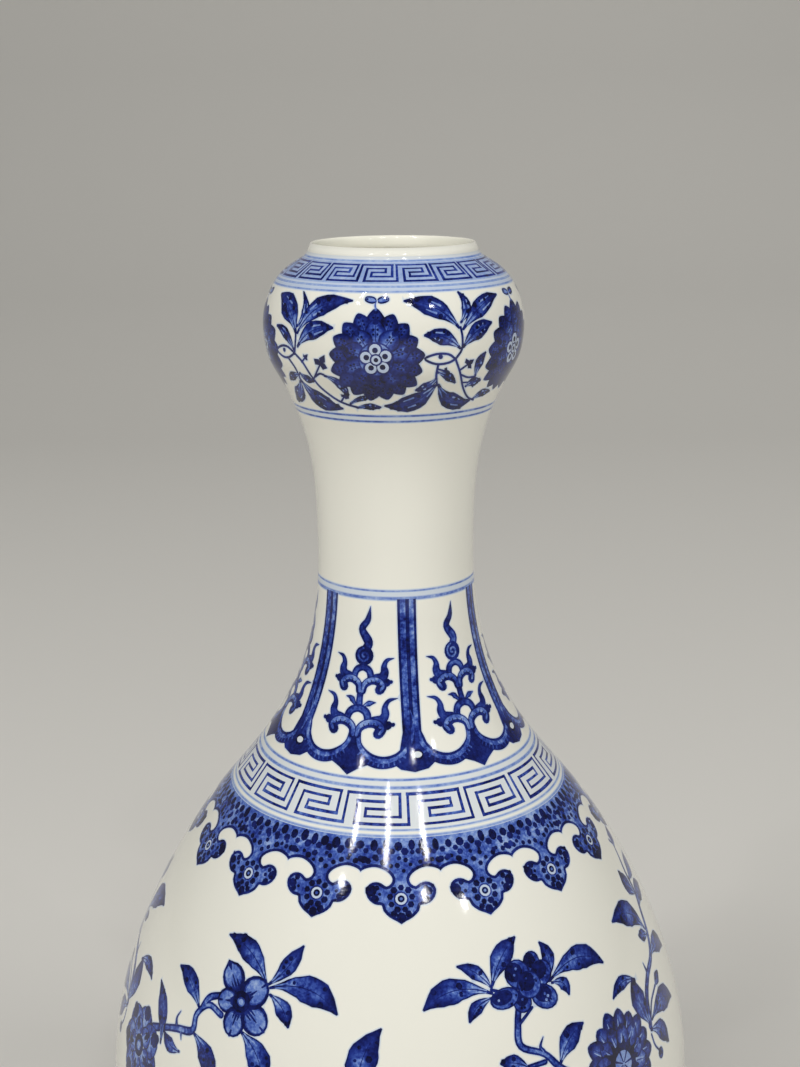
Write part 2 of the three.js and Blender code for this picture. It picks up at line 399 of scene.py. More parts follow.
def smooth(points, steps):
    """A smooth line through the points, with so many steps from each to the next."""
    p = np.asarray(points, float)
    if len(p) < 3:
        return np.linspace(p[0], p[-1], steps + 1)
    p = np.concatenate([[2 * p[0] - p[1]], p, [2 * p[-1] - p[-2]]])
    line = []
    for i in range(1, len(p) - 2):
        a, b, c, d = p[i - 1 : i + 3]
        for t in np.arange(steps) / steps:
            line.append(
                0.5 * (2 * b + (c - a) * t + (2 * a - 5 * b + 4 * c - d) * t * t + (3 * b - a - 3 * c + d) * t**3)
            )
    return np.array(line + [p[-2]])


def circle(centre, radius, sides):
    turn = np.arange(sides) * TURN / sides
    return np.stack([centre[0] + radius * np.cos(turn), centre[1] + radius * np.sin(turn)], axis=1)


def polar(angle, reach):
    a = math.radians(angle)
    return np.array([reach * math.cos(a), reach * math.sin(a)])


def grown(edge, by):
    """A closed edge, moved to the right of the way it runs by a distance."""
    ahead = np.roll(edge, -1, axis=0) - np.roll(edge, 1, axis=0)
    ahead /= np.linalg.norm(ahead, axis=1)[:, None]
    return edge + np.stack([ahead[:, 1], -ahead[:, 0]], axis=1) * by


def rotated(points, angle):
    """The points, turned about (0, 0) by an angle in degrees."""
    cos, sin = math.cos(math.radians(angle)), math.sin(math.radians(angle))
    return np.stack([points[:, 0] * cos - points[:, 1] * sin, points[:, 0] * sin + points[:, 1] * cos], axis=1)


def both_sides(half):
    """A symmetrical line: the points as far as the middle one, then the same points mirrored on the way back."""
    return half + [(-x, y) for x, y in half[-2::-1]]


def leaf(spot, base, tip, width, bend=0, hook=0, dabs=5, tone=0, dashes=((1, 4),)):
    """A leaf on a thin stalk: pale and striped at the base, widest at its middle, dark and dabbed to its slender
    tip. Its middle line bows by bend and curls at its tip by hook, as shares of its length."""
    base, tip = np.asarray(base, float), np.asarray(tip, float)
    reach = tip - base
    steps = int(np.clip(np.linalg.norm(reach) / LEAF_STEP, 9, 13))
    across = np.array([-reach[1], reach[0]])
    t = np.linspace(0, 1, steps + 1)
    middle = base + t[:, None] * reach + (bend * 4 * t * (1 - t) + hook * t**4)[:, None] * across
    half = width / 2 * np.sin(np.pi * t**1.22) ** 1.2
    half *= 1 + 0.05 * np.sin(np.arange(steps + 1) * 2.3 + width)
    half = np.maximum(half, np.interp(t, [0, 0.3, 0.9, 1], [0.16, 0.3, 0.2, 0.05]))
    side = sideways(middle)
    inner = WASH + tone + (0.44 - tone) * t**1.4
    outer = np.minimum(inner + 0.2, PILED)
    for sign in (1, -1):
        spot.strip(middle, middle + sign * side * half[:, None], inner, outer)
    for sign in (1, -1):
        edge, ink = middle + sign * side * half[:, None], sign * side * LINE * 0.5
        spot.strip(edge - ink, edge + ink, DARK + 0.06)
        for first, last in dashes:
            dash = (middle + sign * side * half[:, None] * 0.5)[first:last:2]
            spot.stroke(dash, [0.5, 0.2], 0.43, steps=0)
    spot.stroke(middle[: steps - 1], [0.34, 0.18], DARK, steps=0)
    for _ in range(dabs):
        k, off = random.randint(4, steps - 1), random.choice((-1, 1)) * random.uniform(0.35, 0.8)
        spot.disc(middle[k] + side[k] * half[k] * off, random.uniform(0.4, 0.3 + width * 0.11), PILED, 6)


def leaves_on(spot, leaves, dabs=4):
    """The leaves of a table whose rows are base x and y, tip x and y, width, bend and hook."""
    for x, y, tip_x, tip_y, width, bend, hook in leaves:
        leaf(spot, (x, y), (tip_x, tip_y), width, bend, hook, dabs)


def trefoil(spot, base, tip, size):
    """A short tendril that ends in three small dark leaflets."""
    base, tip = np.asarray(base, float), np.asarray(tip, float)
    spot.stroke([base, tip], [0.55, 0.45], DARK, steps=2)
    ahead = math.degrees(math.atan2(tip[1] - base[1], tip[0] - base[0]))
    for turn, far in ((-80, 0.85), (80, 0.85), (0, 1.15)):
        end = tip + polar(ahead + turn, size * far)
        spot.stroke([tip, (tip + end) / 2, end], [0.3, size * 0.75, 0.12], DARK + 0.06, steps=2)


def petal(spot, angle, low, high, width, tone=0.5, rib=True, round_tip=0.45, dots=0):
    """A petal that points out from a flower's middle, light along its middle and dark at its margin."""
    t = np.array([0, 0.2, 0.42, 0.64, 0.82, 0.94, 1])
    out, across = polar(angle, 1), polar(angle + 90, 1)
    middle = out * (low + (high - low) * t)[:, None]
    half = width / 2 * np.sin(np.pi * np.clip(t * 0.94 + 0.03, 0, 1) ** 0.85) ** round_tip
    half[-1] = 0.05
    for sign in (1, -1):
        edge = middle + across * (sign * half)[:, None]
        spot.strip(middle, edge, tone - 0.04, min(tone + 0.26, 0.96))
    for sign in (1, -1):
        edge, ink = middle + across * (sign * half)[:, None], across * sign * LINE * 0.5
        spot.strip(edge - ink * 1.4, edge + ink, DARK + 0.08)
    spot.stroke([middle[-1] - out * 0.7, middle[-1]], [width * 0.3, 0.2], DARK + 0.05, steps=1)
    if rib:
        spot.stroke(middle[1:5:3], [0.26, 0.14], DARK, steps=1)
    for k in range(dots):
        where = low + (high - low) * (0.45 + 0.17 * (k // 2))
        spot.disc(out * where + across * (0.5 if k % 2 else -0.5), 0.3, PILED, 7)


# --- The bands ---


def line_round(low, high, cobalt):
    """A band or a line right round the vase between two heights."""
    angles = np.radians(np.linspace(-180, 180, COLUMNS + 1))
    bottom, top = way_to(low), way_to(high)
    for a, b in zip(angles[:-1], angles[1:]):
        lay_box(a, bottom, b, top, cobalt)


def soft_line(low, high, cobalt):
    """A line that the brush laid thin at both edges."""
    spread = (high - low) * 0.3
    line_round(low - spread, high + spread, cobalt * 0.55)
    line_round(low, high, cobalt)


# The key fret's columns in shares of a unit, and its line's corners as (column, row of five).
KEY_COLUMNS = [0, 0.183, 0.333, 0.7, 0.873, 1]
KEY_CORNERS = [(0, 0), (0, 4), (4, 4), (4, 1), (2, 1), (2, 2), (3, 2), (3, 3), (1, 3), (1, 0), (5, 0)]


def key_fret(low, high, count, start, line, cobalt):
    """A key fret between two heights: so many units from a start in degrees, in a line so many millimetres wide."""
    bottom, top = way_to(low), way_to(high)
    pitch = TURN / count
    for n in range(count):
        left = math.radians(start) + n * pitch
        places = [(left + KEY_COLUMNS[c] * pitch, bottom + r / 4 * (top - bottom)) for c, r in KEY_CORNERS]
        for (a0, w0), (a1, w1) in zip(places[:-1], places[1:]):
            half = line / 2 * random.uniform(0.85, 1.15)
            reach = half / radius_at((w0 + w1) / 2)
            low_a, high_a = min(a0, a1) - reach, max(a0, a1) + reach
            low_w, high_w = min(w0, w1) - half, max(w0, w1) + half
            pieces = max(1, int(math.ceil((high_a - low_a) / (TURN / COLUMNS))))
            edges = np.linspace(low_a, high_a, pieces + 1)
            tone = cobalt + random.uniform(-0.06, 0.06)
            for x0, x1 in zip(edges[:-1], edges[1:]):
                lay_box(x0, low_w, x1, high_w, tone)


# --- The bulb ---

BULB_FLOWERS = 5
# The sprigs that are painted, as (flower, side). Side is -1 for the one on a flower's left and 1 on its right.
BULB_SPRIGS = ((0, 1), (0, -1), (2, 1), (2, -1), (3, 1))


def bulb_flower(spot):
    """A many-petalled flower face with a small white eye and a pair of leaflets above it."""
    # Each row's top petal is the longest. The others of the outer row vary, and those of the inner row don't.
    for count, low, high, top, width, tone, deeper, tip in (
        (17, 6.2, None, 12, 4.5, 0.76, 0.16, 0.95),
        (10, 3, 8.3, 9.6, 5, 0.64, 0.2, 0.7),
    ):
        for i in range(count):
            a = 90 + i * 360 / count
            below = max(0, -math.sin(math.radians(a)))
            far = top if i == 0 else high or random.uniform(10.9, 11.7)
            petal(spot, a, low, far, width, tone + deeper * below, round_tip=tip, dots=4)
    spot.rings(((4.3, DARK), (3.9, MID)), 18)
    for i in range(5):
        spot.disc(polar(94 + i * 72, 2.4), 1.85, DARK, 14)
    for i in range(5):
        spot.disc(polar(94 + i * 72, 2.45), 1.36, 0.22, 14)
        spot.disc(polar(94 + i * 72, 2.3), 0.7, PILED, 9)
    spot.rings(((1.5, DARK), (1.1, 0.22), (0.55, PILED)), 12)
    spot.stroke([(0, 11.6), (-0.2, 12.9), (0.1, 13.9)], [0.5, 0.25], MID)
    above = Spot(math.degrees(spot.angle) + 0.3, spot.way + 13.7)
    for side in (-1, 1):
        petal(above, 90 - side * 78, 0.2, 2.9, 1.5, WASH, rib=False)


# Leaves of the sprigs left and right of a flower, from its middle.
LEFT_LEAVES = [
    (-21.4, 5.2, -28.8, 14, 6.4, -0.14, 0), (-21.2, 6.8, -16.8, 13.6, 2.3, -0.12, 0.4),
    (-20.9, 5.2, -6, 14.6, 4.2, 0.12, -0.06), (-21, 2, -10.2, 7.2, 4, 0.14, 0),
    (-22.2, 1, -28.8, 7, 2.5, -0.1, 0.1), (-21.3, -5.2, -26.2, -7.6, 2.4, -0.1, 0),
    (-21.2, -4.6, -16.4, -6.6, 2, -0.1, 0), (-21.4, -6.6, -9.6, -14.8, 4.3, -0.1, 0.06),
    (-21.6, -7, -26.2, -13.8, 4.4, 0.12, 0), (-13.4, -4.6, -7, -10.4, 2.2, 0.14, -0.1),
    (-7.2, -12.6, -1.4, -10.4, 1.2, 0.1, 0), (-5.6, -13.6, 0.4, -13.8, 1.6, 0.1, 0.1),
]
RIGHT_LEAVES = [
    (20.1, 6.8, 6.4, 14, 4.3, -0.1, 0.02), (20.4, 8, 22.6, 14.4, 2.4, -0.1, 0.5),
    (21, 6.4, 32, 14.2, 4.6, 0.08, -0.04), (20.4, 2, 11.2, 5.6, 3.6, -0.12, 0),
    (21, 2.2, 30, 7.4, 4, 0.1, 0), (14.2, -3.4, 18.8, -7, 2.2, 0.1, 0),
    (14.1, -5, 8.6, -8.4, 2.2, 0.1, 0), (14, -6.8, 1.8, -14, 4.4, 0.1, -0.1),
    (14.4, -6.8, 22.4, -13.8, 4.8, -0.2, 0.14), (24.6, -5.6, 28, 0.6, 2.2, 0.1, 0),
    (21.6, -8.4, 26.6, -7, 2.4, 0.1, 0), (24, -12.6, 31, -11.2, 2, 0.1, 0),
]
# The stems of those sprigs, the small disc in their loop, and their tendrils as (base, tip, size).
LEFT_STEMS = [
    [(-22.1, 0.2), (-21.5, 3.8), (-21.3, 6)],
    [(-22.1, 0.4), (-19.4, -1.8), (-16.8, -5.8), (-14.6, -8.6), (-10.1, -11.9), (-5.4, -13.4), (-3, -13.2)],
    [(-22.1, 0.4), (-24.6, 1.7), (-27.2, 1.7), (-29.7, 0.4), (-27.2, -0.9), (-24.6, -0.9), (-22.1, 0.4)],
    [(-24.8, -1), (-22.4, -3.6), (-21.4, -6.6)],
    [(-16, -5.2), (-14.6, -4.2), (-13.4, -4.4)],
]
RIGHT_STEMS = [
    [(19, -0.4), (20.7, 1.8), (20.9, 4.6), (20.4, 7)],
    [(19.1, -0.6), (20.2, -4), (21, -8.6), (22.4, -11.6), (24.4, -12.8)],
    [(19, -0.4), (17.2, 0.9), (14.2, 1.1), (11.4, 0.1), (14, -1.3), (17, -1.2), (19, -0.4)],
    [(14.6, -1.4), (14, -4.2), (14, -7.2)],
    [(20.4, -4.6), (22.4, -5.6), (24.6, -5.6)],
]
LEFT_TREFOILS = [((-16.4, -5.6), (-14.2, -1.8), 2.5), ((-19.8, -1.6), (-18.6, -0.4), 1.1),
                 ((-9.6, -12.2), (-8.6, -10.6), 1.3)]
RIGHT_TREFOILS = [((20, -3.4), (22.4, -2), 1.8), ((20.6, -7), (23.8, -7.2), 2), ((14.4, -2.6), (16.2, -3.2), 1.2)]
SPRIG_PARTS = {
    -1: (LEFT_STEMS, (-26.2, 0.8), LEFT_TREFOILS, LEFT_LEAVES),
    1: (RIGHT_STEMS, (15.2, 0.4), RIGHT_TREFOILS, RIGHT_LEAVES),
}


def bulb_sprig(spot, side):
    """A leafy scroll beside a flower of the bulb."""
    stems, eye, trefoils, leaves = SPRIG_PARTS[side]
    for stem in stems:
        spot.stroke(stem, 0.6, DARK)
    spot.disc(eye, 0.6, DARK, 8)
    for base, tip, size in trefoils:
        trefoil(spot, base, tip, size)
    for x, y, tip_x, tip_y, width, bend, hook in leaves:
        # Leaves that point downwards are laid darker: partly heavier brushwork, and partly painted shade for the
        # shadow over the lower bulb.
        tone = 0.06 if tip_y > 0 else 0.18
        leaf(spot, (x, y), (tip_x, tip_y), width, bend, hook, dabs=8, tone=tone, dashes=((1, 4), (5, 8)))


def paint_bulb():
    """The washed collar with its fret under the lip, and the flowers between two lines."""
    line_round(270.9, 277.5, 0.2)
    line_round(277.3, 278.1, 0.1)
    line_round(272.5, 277, 0.31)
    soft_line(276.9, 277.3, 0.36)
    soft_line(271.6, 272.1, 0.33)
    soft_line(270.6, 271, 0.36)
    key_fret(273.05, 276.3, 18, 2, 0.62, 0.8)
    line_round(239.4, 241.4, 0.12)
    soft_line(240.9, 241.3, 0.52)
    soft_line(239.5, 239.9, 0.52)
    for n in range(BULB_FLOWERS):
        spot = Spot(-7.5 + n * 360 / BULB_FLOWERS, way_to(255.4))
        for side in (1, -1):
            if (n, side) in BULB_SPRIGS:
                bulb_sprig(spot, side)
        bulb_flower(spot)


# --- The neck ---

NECK_PANELS = 6
# The angle of the bar at the front, in degrees, and half the width of a bar.
FRONT_BAR = 7.3
BAR_HALF = 2.35
# Half of a panel's rounded lower end, from its bar in to its middle, in mm from the panel's knob.
PANEL_ROUND = [(14.9, -13), (14.6, -18.5), (14.3, -22), (12, -24.9), (8.6, -26), (5.2, -25.4), (2.5, -23.6),
               (1, -21.4), (0.6, -18.4)]
# The dark heap at a bar's foot, the drop under a panel's cusp and the ring and eye of its scroll.
BAR_HEAP = both_sides([(-BAR_HALF, 7), (-3.4, 2.4), (-5.6, -0.4), (-3.4, -2.2), (0, -2.9)])
PANEL_DROP = both_sides([(-6, -26.4), (-4.4, -26.9), (-2.4, -27.9), (0, -29.6)])
PANEL_DROP += [(1.5, -21.5), (0, -19.6), (-1.5, -21.5)]
SCROLL_RING = both_sides([(-2.4, -1.6), (-2.7, -0.1), (-1.9, 1.6), (0, 2.35)])
SCROLL_EYE = both_sides([(0, 1.3), (-1.1, 0.9), (-1.45, 0.1), (-1, -0.8), (0, -1.5)])
# The right horn and the right rolled arm of the scroll.
SCROLL_HORN = [(4.2, -0.6), (6.2, -0.2), (6.9, 1.2), (6.6, 3), (7.4, 4.6), (9.5, 5.2)]
SCROLL_ARM = [(0.75, -4.3), (1, -2.5), (2.7, -1.25), (4.9, -1.2), (6.5, -2.4), (6, -3.5)]


def ticks(spot, path, out, numbers, near, far, width, cobalt):
    """Short cross strokes at some points of a path, from near to far outwards."""
    for k in numbers:
        spot.stroke([path[k] + out[k] * near, path[k] + out[k] * far], width, cobalt, steps=1)


def panel_tree(spot):
    """The flaming scroll that stands in each panel of the neck, from its knob down to its double root."""
    spot.strands([
        ([(0.2, 1.4), (0.9, 3.4), (-0.9, 6.5), (0.5, 9), (1.1, 12.4)], [2.2, 2.4, 1.9, 1.5, 0.15]),
        ([(0, -7.6), (-0.1, -10.4), (0, -12.8)], [2.2, 1.7, 2]),
    ], 0.74, 0.5)
    for x, y in ((4, -11.5), (-3.6, -10.6)):
        flame = [(x * 0.25, -12.4), (x * 0.65, y - 0.1), (x * 1.05, y + 0.2)]
        spot.strands([(flame, [0.5, 1.6, 0.2])], 0.64, 0.4)
    for hole, wide, tall in ((-4.95, 0.8, 0.9), (-15.3, 1, 1)):
        def scaled(points, side=1):
            return [(x * side * wide, hole + y * tall) for x, y in points]

        for side in (1, -1):
            for x, y, radius in ((7.9, -1.5, 1.15), (6.8, -2.4, 1), (9.2, -1.3, 0.55)):
                spot.disc(scaled([(x, y)], side)[0], radius * tall, DARK + 0.03)
            spot.strands([(scaled(SCROLL_HORN, side), [2.4, 2.7, 2.1, 1.4, 1, 0.15])], 0.78, 0.45)
        spot.strands([(scaled(SCROLL_RING), 2 * tall)], 0.72, 0.5)
        spot.fill(np.array(scaled(smooth(SCROLL_EYE, 3)[:-1])), BARE)
        for side in (1, -1):
            arm = scaled(SCROLL_ARM, side)
            thick = np.array([1.6, 2.1, 2.3, 2.3, 2.5, 2.8]) * tall
            spot.stroke(arm, thick, DARK, steps=5)
            spot.stroke(arm, thick * [0.5, 0.46, 0.5, 0.5, 0.45, 0.2], 0.55, steps=5, shift=0.25 * side)
            path = smooth(arm, 5)
            ticks(spot, path, sideways(path) * side, range(8, len(path) - 5, 3), 0.1, -0.55, [0.3, 0.25], PILED)
    spot.disc((0, 0), 2.45, DARK, 16)
    turn, reach = np.radians(np.linspace(100, 620, 18)), np.linspace(1.85, 0.3, 18)
    spot.stroke(np.stack([reach * np.cos(turn), reach * np.sin(turn)], axis=1), 0.5, 0.58, steps=0)


def paint_neck():
    """Panels with rounded lower ends between upright bars, with a scroll in each, and the lines that close them in."""
    line_round(194.9, 196.9, 0.14)
    soft_line(196.5, 196.9, 0.42)
    soft_line(194.5, 195.2, 0.44)
    line_round(151.5, 153.4, 0.08)
    soft_line(153.1, 153.5, 0.4)
    soft_line(151.5, 152, 0.4)
    knob = way_to(180.5)
    pitch = 360 / NECK_PANELS
    bar_ways = np.linspace(way_to(157.6), way_to(194.7), 18)
    panels = [Spot(FRONT_BAR + (n - 0.5) * pitch + 1.5, knob) for n in range(NECK_PANELS)]
    bars = [Spot(FRONT_BAR + n * pitch, 0) for n in range(NECK_PANELS)]
    rounds = [[(side * x, y) for x, y in PANEL_ROUND] for side in (1, -1)]

    def upright(bar, left, right, cobalt):
        bar.strip([(left, w) for w in bar_ways], [(right, w) for w in bar_ways], cobalt)

    for bar in bars:
        upright(bar, -BAR_HALF, BAR_HALF, DARK + 0.04)
        low = way_to(157.2)
        bar.fill([(x, y + low) for x, y in BAR_HEAP], DARK)
    for spot in panels:
        for line in rounds:
            spot.stroke(line, [0.3, 2, 3.1, 3.2, 3.2, 3.1, 2.8, 2.2, 1.9], DARK, steps=5)
        spot.fill(PANEL_DROP, DARK + 0.04)
    for spot in panels:
        for line, side in zip(rounds, (1, -1)):
            spot.stroke(line, [0.1, 0.8, 1.1, 1.1, 1, 1.1, 1, 0.9, 0.8], MID, steps=5, shift=-0.35 * side)
            path = smooth(line, 6)
            inwards = sideways(path) * -side
            ticks(spot, path, inwards, range(14, len(path) - 12, 2), -0.25, -1.15, [0.5, 0.3], 0.7)
    for bar in bars:
        fade = np.interp(bar_ways - bar_ways[0], [0, 6, 11], [0.86, 0.74, 0.6])
        upright(bar, -1.7, -0.35, fade + 0.05)
        upright(bar, 0.6, 1.7, fade)
        low = way_to(158.4)
        bar.disc((0.9, low), 1.5, PILED, 14)
        bar.fill(circle((0, 0), 1, 12) * [1.15, 0.8] + [0.9, low], 0.1)
    for spot in panels:
        panel_tree(spot)


# --- The shoulder and the cloud collar ---


def paint_shoulder():
    """The fret at the root of the neck and the lines under it."""
    line_round(144, 151.2, 0.09)
    soft_line(143.4, 143.7, 0.34)
    soft_line(142.2, 142.6, 0.34)
    key_fret(144.6, 150.5, 16, -18.9, 0.76, 0.75)


PENDANTS = 16
# Half the width of a pendant where it hangs from the band, in mm.
PENDANT_HALF = 10.35
# A pendant of the cloud collar, from the cusp beside it down round its lobe to its tip, in mm from its rosette.
PENDANT_EDGE = [
    (9.66, 6.1), (8.9, 6.7), (7.6, 7.2), (6, 7.4), (4.4, 7), (2.8, 6), (2, 4.7), (2.4, 3.5), (3.5, 2.9), (4.6, 3.6),
    (5.9, 3.9), (7.4, 3.4), (8.4, 1.9), (8, 0.1), (6.8, -1.1), (5.6, -1.5), (4.6, -1.6), (4.2, -2.9), (2.8, -4.3),
    (1.1, -5.2),
]
# The dots on both sides of a pendant and those along its middle, as (across, up, size).
SIDE_DOTS = [
    (6.9, 1.5, 1.25), (5.7, 2.6, 0.7), (6, -0.1, 0.85), (7.7, 2.6, 0.5), (5, 1, 0.5), (4.4, 8.7, 0.7),
    (7.6, 9, 0.7), (6, 9.3, 0.5), (9.6, 9, 0.8), (2.6, 7.9, 0.6),
]
MIDDLE_DOTS = [
    (0, -4.3, 1.1), (-1.7, -3.5, 0.85), (1.7, -3.5, 0.85), (0.7, 6.6, 0.6), (-0.8, 7.9, 0.7), (1.2, 9.2, 0.7),
]
# How many heavy dots, and how many loose ones under them, run right round the top of the collar.
HEAVY_DOTS, LOOSE_DOTS = 94, 100


def paint_cloud_collar():
    """A collar of cloud-shaped pendants, each with a rosette, under a band of dark dots."""
    way = way_to(130.5)
    top = way_to(142.1) - way
    half = smooth(PENDANT_EDGE, 2)
    edge = np.concatenate([[(-PENDANT_HALF, top)], half * [-1, 1], [(0, -5.9)], half[::-1], [(PENDANT_HALF, top)]])
    inner = edge.copy()
    inner[2:-2] = grown(edge, -0.75)[2:-2]
    inner[1, 1] += 0.8
    inner[-2, 1] += 0.8
    spots = [Spot(0.6 + n * 360 / PENDANTS, way) for n in range(PENDANTS)]
    for spot in spots:
        spot.fill(edge, DARK + 0.03)
    for spot in spots:
        spot.fill(inner, 0.57)
    line_round(140.6, 142.1, 0.5)
    for spot in spots:
        for side in (1, -1):
            for x, y, size in SIDE_DOTS:
                place = (side * (x + random.uniform(-0.3, 0.3)), y + random.uniform(-0.3, 0.3))
                spot.disc(place, size * random.uniform(0.8, 1.2), PILED, 7)
        for i in range(9):
            spot.disc(polar(i * 40 + 10, 2.65), random.uniform(0.74, 0.92), PILED, 6)
        for x, y, size in MIDDLE_DOTS:
            spot.disc((x, y), size * random.uniform(0.85, 1.15), PILED, 7)
        spot.rings(((1.75, 0.8), (1.4, 0.2), (0.85, PILED), (0.35, 0.5)), 12)
    for n in range(HEAVY_DOTS):
        spot = Spot(n * 360 / HEAVY_DOTS + random.uniform(-0.3, 0.3), way_to(141.1))
        bold, long = random.uniform(0.8, 1.15), random.uniform(1, 1.7)
        spot.fill(circle((0, 0), 1, 8) * [bold, long] + [0, random.uniform(-0.8, -0.2)], PILED)
        between = Spot(math.degrees(spot.angle) + 180 / HEAVY_DOTS, spot.way - 2)
        between.fill(circle((0, 0), random.uniform(0.7, 1), 6), DARK + 0.05)
    for n in range(LOOSE_DOTS):
        spot = Spot(n * 3.6 + random.uniform(-0.6, 0.6), way_to(138.6) + random.uniform(-1, 1))
        spot.disc((0, 0), random.uniform(0.4, 0.95), random.uniform(0.84, 0.97), 6)


# --- Flowers and fruit of the body ---

# The blossom's petals as (angle, reach, radius). The first one ends in a point.
POINTED = 129
BLOSSOM_PETALS = [(POINTED, 6.6, 3), (191, 4.4, 2.7), (-99, 5.6, 2.9), (-33, 6.2, 3.2), (44, 4.8, 3.4)]


def blossom(spot):
    """A five-petalled fruit blossom with a dark eye."""
    for a, reach, radius in BLOSSOM_PETALS:
        where = polar(a, reach - 0.6)
        ring = rotated(circle((0, 0), 1, 16) * [radius * 1.12, radius], a)
        tip = polar(a, 1) * (0.7 if a == POINTED else 0)
        for size, cobalt in ((1.14, DARK + 0.06), (0.88, 0.7), (0.79, 0.49)):
            edge = where + polar(a, (1.14 - size) * 1.6) + ring * size
            edge[0] += tip * size
            spot.fill(edge, cobalt)
        margin = [where + polar(a, radius * 0.75), where + polar(a, radius * 1.2)]
        spot.stroke(margin, [0.5, 1.4 if a == POINTED else 0.7], DARK, steps=2)
        for off in (-9, 0, 9):
            stamen = [polar(a + off * 2, 2.4), polar(a + off, reach + 0.4 - abs(off) * 0.16)]
            spot.stroke(stamen, [0.9, 0.25], DARK, steps=2)
    spot.rings(((2.6, PILED), (1.1, 0.6), (0.7, 0.36)), 14)


FULL_FLOWER = 13.5


def full_flower(spot):
    """A full flower head: two rows of long striped petals, a ragged dark ring and a pale striped eye."""
    radius = FULL_FLOWER
    for count, low, high, width, tone in ((17, 0.5, 1, 5.2, 0.7), (12, 0.3, 0.76, 5, 0.6)):
        for i in range(count):
            turn = 90 + (i + 0.5) * 360 / count
            far = radius * high * (1 - 0.07 * (i % 2)) * random.uniform(0.97, 1.03)
            petal(spot, turn, radius * low, far, width, tone, round_tip=0.75)
            stripe = [polar(turn + 5, radius * (low + 0.08)), polar(turn + 3, far - 2.4)]
            spot.stroke(stripe, [0.5, 0.2], PALE, steps=1)
    for i in range(15):
        ragged = [polar(i * 24, radius * 0.34), polar(i * 24, radius * random.uniform(0.46, 0.58))]
        spot.stroke(ragged, [1.8, 0.2], PILED, steps=1)
    spot.disc((0, 0), radius * 0.38, PILED, 18)
    spot.disc((0, 0), radius * 0.24, 0.4, 16)
    for i in range(7):
        spot.stroke([polar(i * 51, 0.4), polar(i * 51, radius * 0.23)], [0.3, 0.6], DARK, steps=1)


def open_flower(spot):
    """An open flower with broad petals, pale and striped at the middle and dark at their tips."""
    for row, (count, low, high, width) in enumerate(((7, 3, 10.8, 9), (5, 2.2, 6.8, 5.6))):
        for i in range(count):
            turn = 84 + (i + 0.5 * row) * 360 / count
            petal(spot, turn, low, high * random.uniform(0.95, 1.04), width, rib=False, round_tip=0.6)
            spot.disc(polar(turn, high - 1.9), width * 0.22, DARK + 0.05, 9)
            for off in (-9, 9):
                stripe = [polar(turn + off, low + 0.6), polar(turn + off, high * 0.72)]
                spot.stroke(stripe, [0.8, 0.2], PALE + 0.04, steps=1)
    spot.rings(((2.8, PILED), (1.3, 0.62), (0.9, 0.42)), 14)


def fruit(spot, centre, radius, long=1, turn=0, ripe=0):
    """A small round fruit, dark on one side and stippled over."""
    skin = rotated(circle((0, 0), 1, 16) * [long, 1], turn) * radius
    spot.fill(skin + centre, DARK + 0.05)
    spot.fill(skin * (1 - 0.35 / radius) + centre, 0.7)
    spot.fill(skin * 0.68 + centre + polar(115 + ripe * 0.25, radius * 0.3), DARK + 0.08)
    for _ in range(int(radius * 3)):
        spread = polar(random.uniform(0, 360), radius * 0.75 * math.sqrt(random.random()))
        size, cobalt = random.uniform(0.2, 0.42), random.choice((PILED, PILED, MID))
        spot.disc(spread * [long, 1] + centre, size, cobalt, 6)


PEACH = [(0, -9), (6, -7.4), (9, -2), (8.4, 3.8), (4.8, 8.2), (0.6, 11.6), (-3.6, 8.4), (-8.2, 4), (-9, -2),
         (-6, -7.4), (0, -9)]


def peach(spot):
    """A ripe peach with its cleft, stippled towards the tip."""
    skin = smooth(PEACH, 3)[:-1]
    spot.fill(skin, DARK + 0.04)
    inner = skin * 0.955
    for a, b in zip(inner, np.roll(inner, -1, axis=0)):
        spot.fill([(-1.5, -3), a, b], [0.14, 0.46 + a[1] * 0.03, 0.46 + b[1] * 0.03])
    spot.stroke([(0.6, 11), (-2.4, 5), (-3, -1), (-0.6, -7.8)], [0.3, 0.6, 0.3], DARK)
    for _ in range(20):
        where = polar(random.uniform(0, 360), 6.2 * math.sqrt(random.random())) + [0, 2.6]
        spot.disc(where, random.uniform(0.2, 0.4), 0.86, 6)


# --- Branches of the body ---
# Each has its stems as (points, widths) and its leaves as rows for leaves_on, in mm from the place that its
# comment names.

# From the blossom's middle.
BLOSSOM_STEMS = [
    ([(-30, -17), (-24, -14.5), (-19, -12.8), (-13.4, -11.2), (-12.9, -7), (-9.4, -3.6), (-5, -4.6)],
     [2.2, 1.7, 2.1, 1.6, 1.8]),
    ([(-12, -5.8), (-9.8, -2), (-6, -0.2)], [1.4, 1.9, 1.7]),
    ([(-19.6, -12.2), (-19.9, -10.4), (-18.8, -8.4)], [1.2, 0.6, 0.25]),
    ([(-17.6, -12.4), (-16.8, -14.8)], [1.2, 0.3]),
    ([(-10.6, -3.8), (-10, -2)], [1.2, 0.3]),
]
BLOSSOM_LEAVES = [
    (5.9, 5.6, -8.2, 14.6, 5.2, -0.1, 0.06), (6.2, 5.6, 11.6, 16.8, 4, -0.1, -0.1),
    (6.8, 5, 25.2, 2.2, 6.2, 0.16, -0.03), (7.2, 3.6, 14, -3, 3.8, 0.12, 0), (1.4, -6.4, 10.6, -17.5, 6, 0.12, 0),
    (-12.4, -5.6, -22.8, 2, 5, -0.08, 0.1),
    (-25, -19, -30.2, -5.2, 4.4, -0.08, 0.04), (-13, -11.4, -4.2, -21, 5.2, 0.12, 0),
    (-16.6, -17.6, -24.4, -16.2, 3.4, 0.1, -0.1),
]
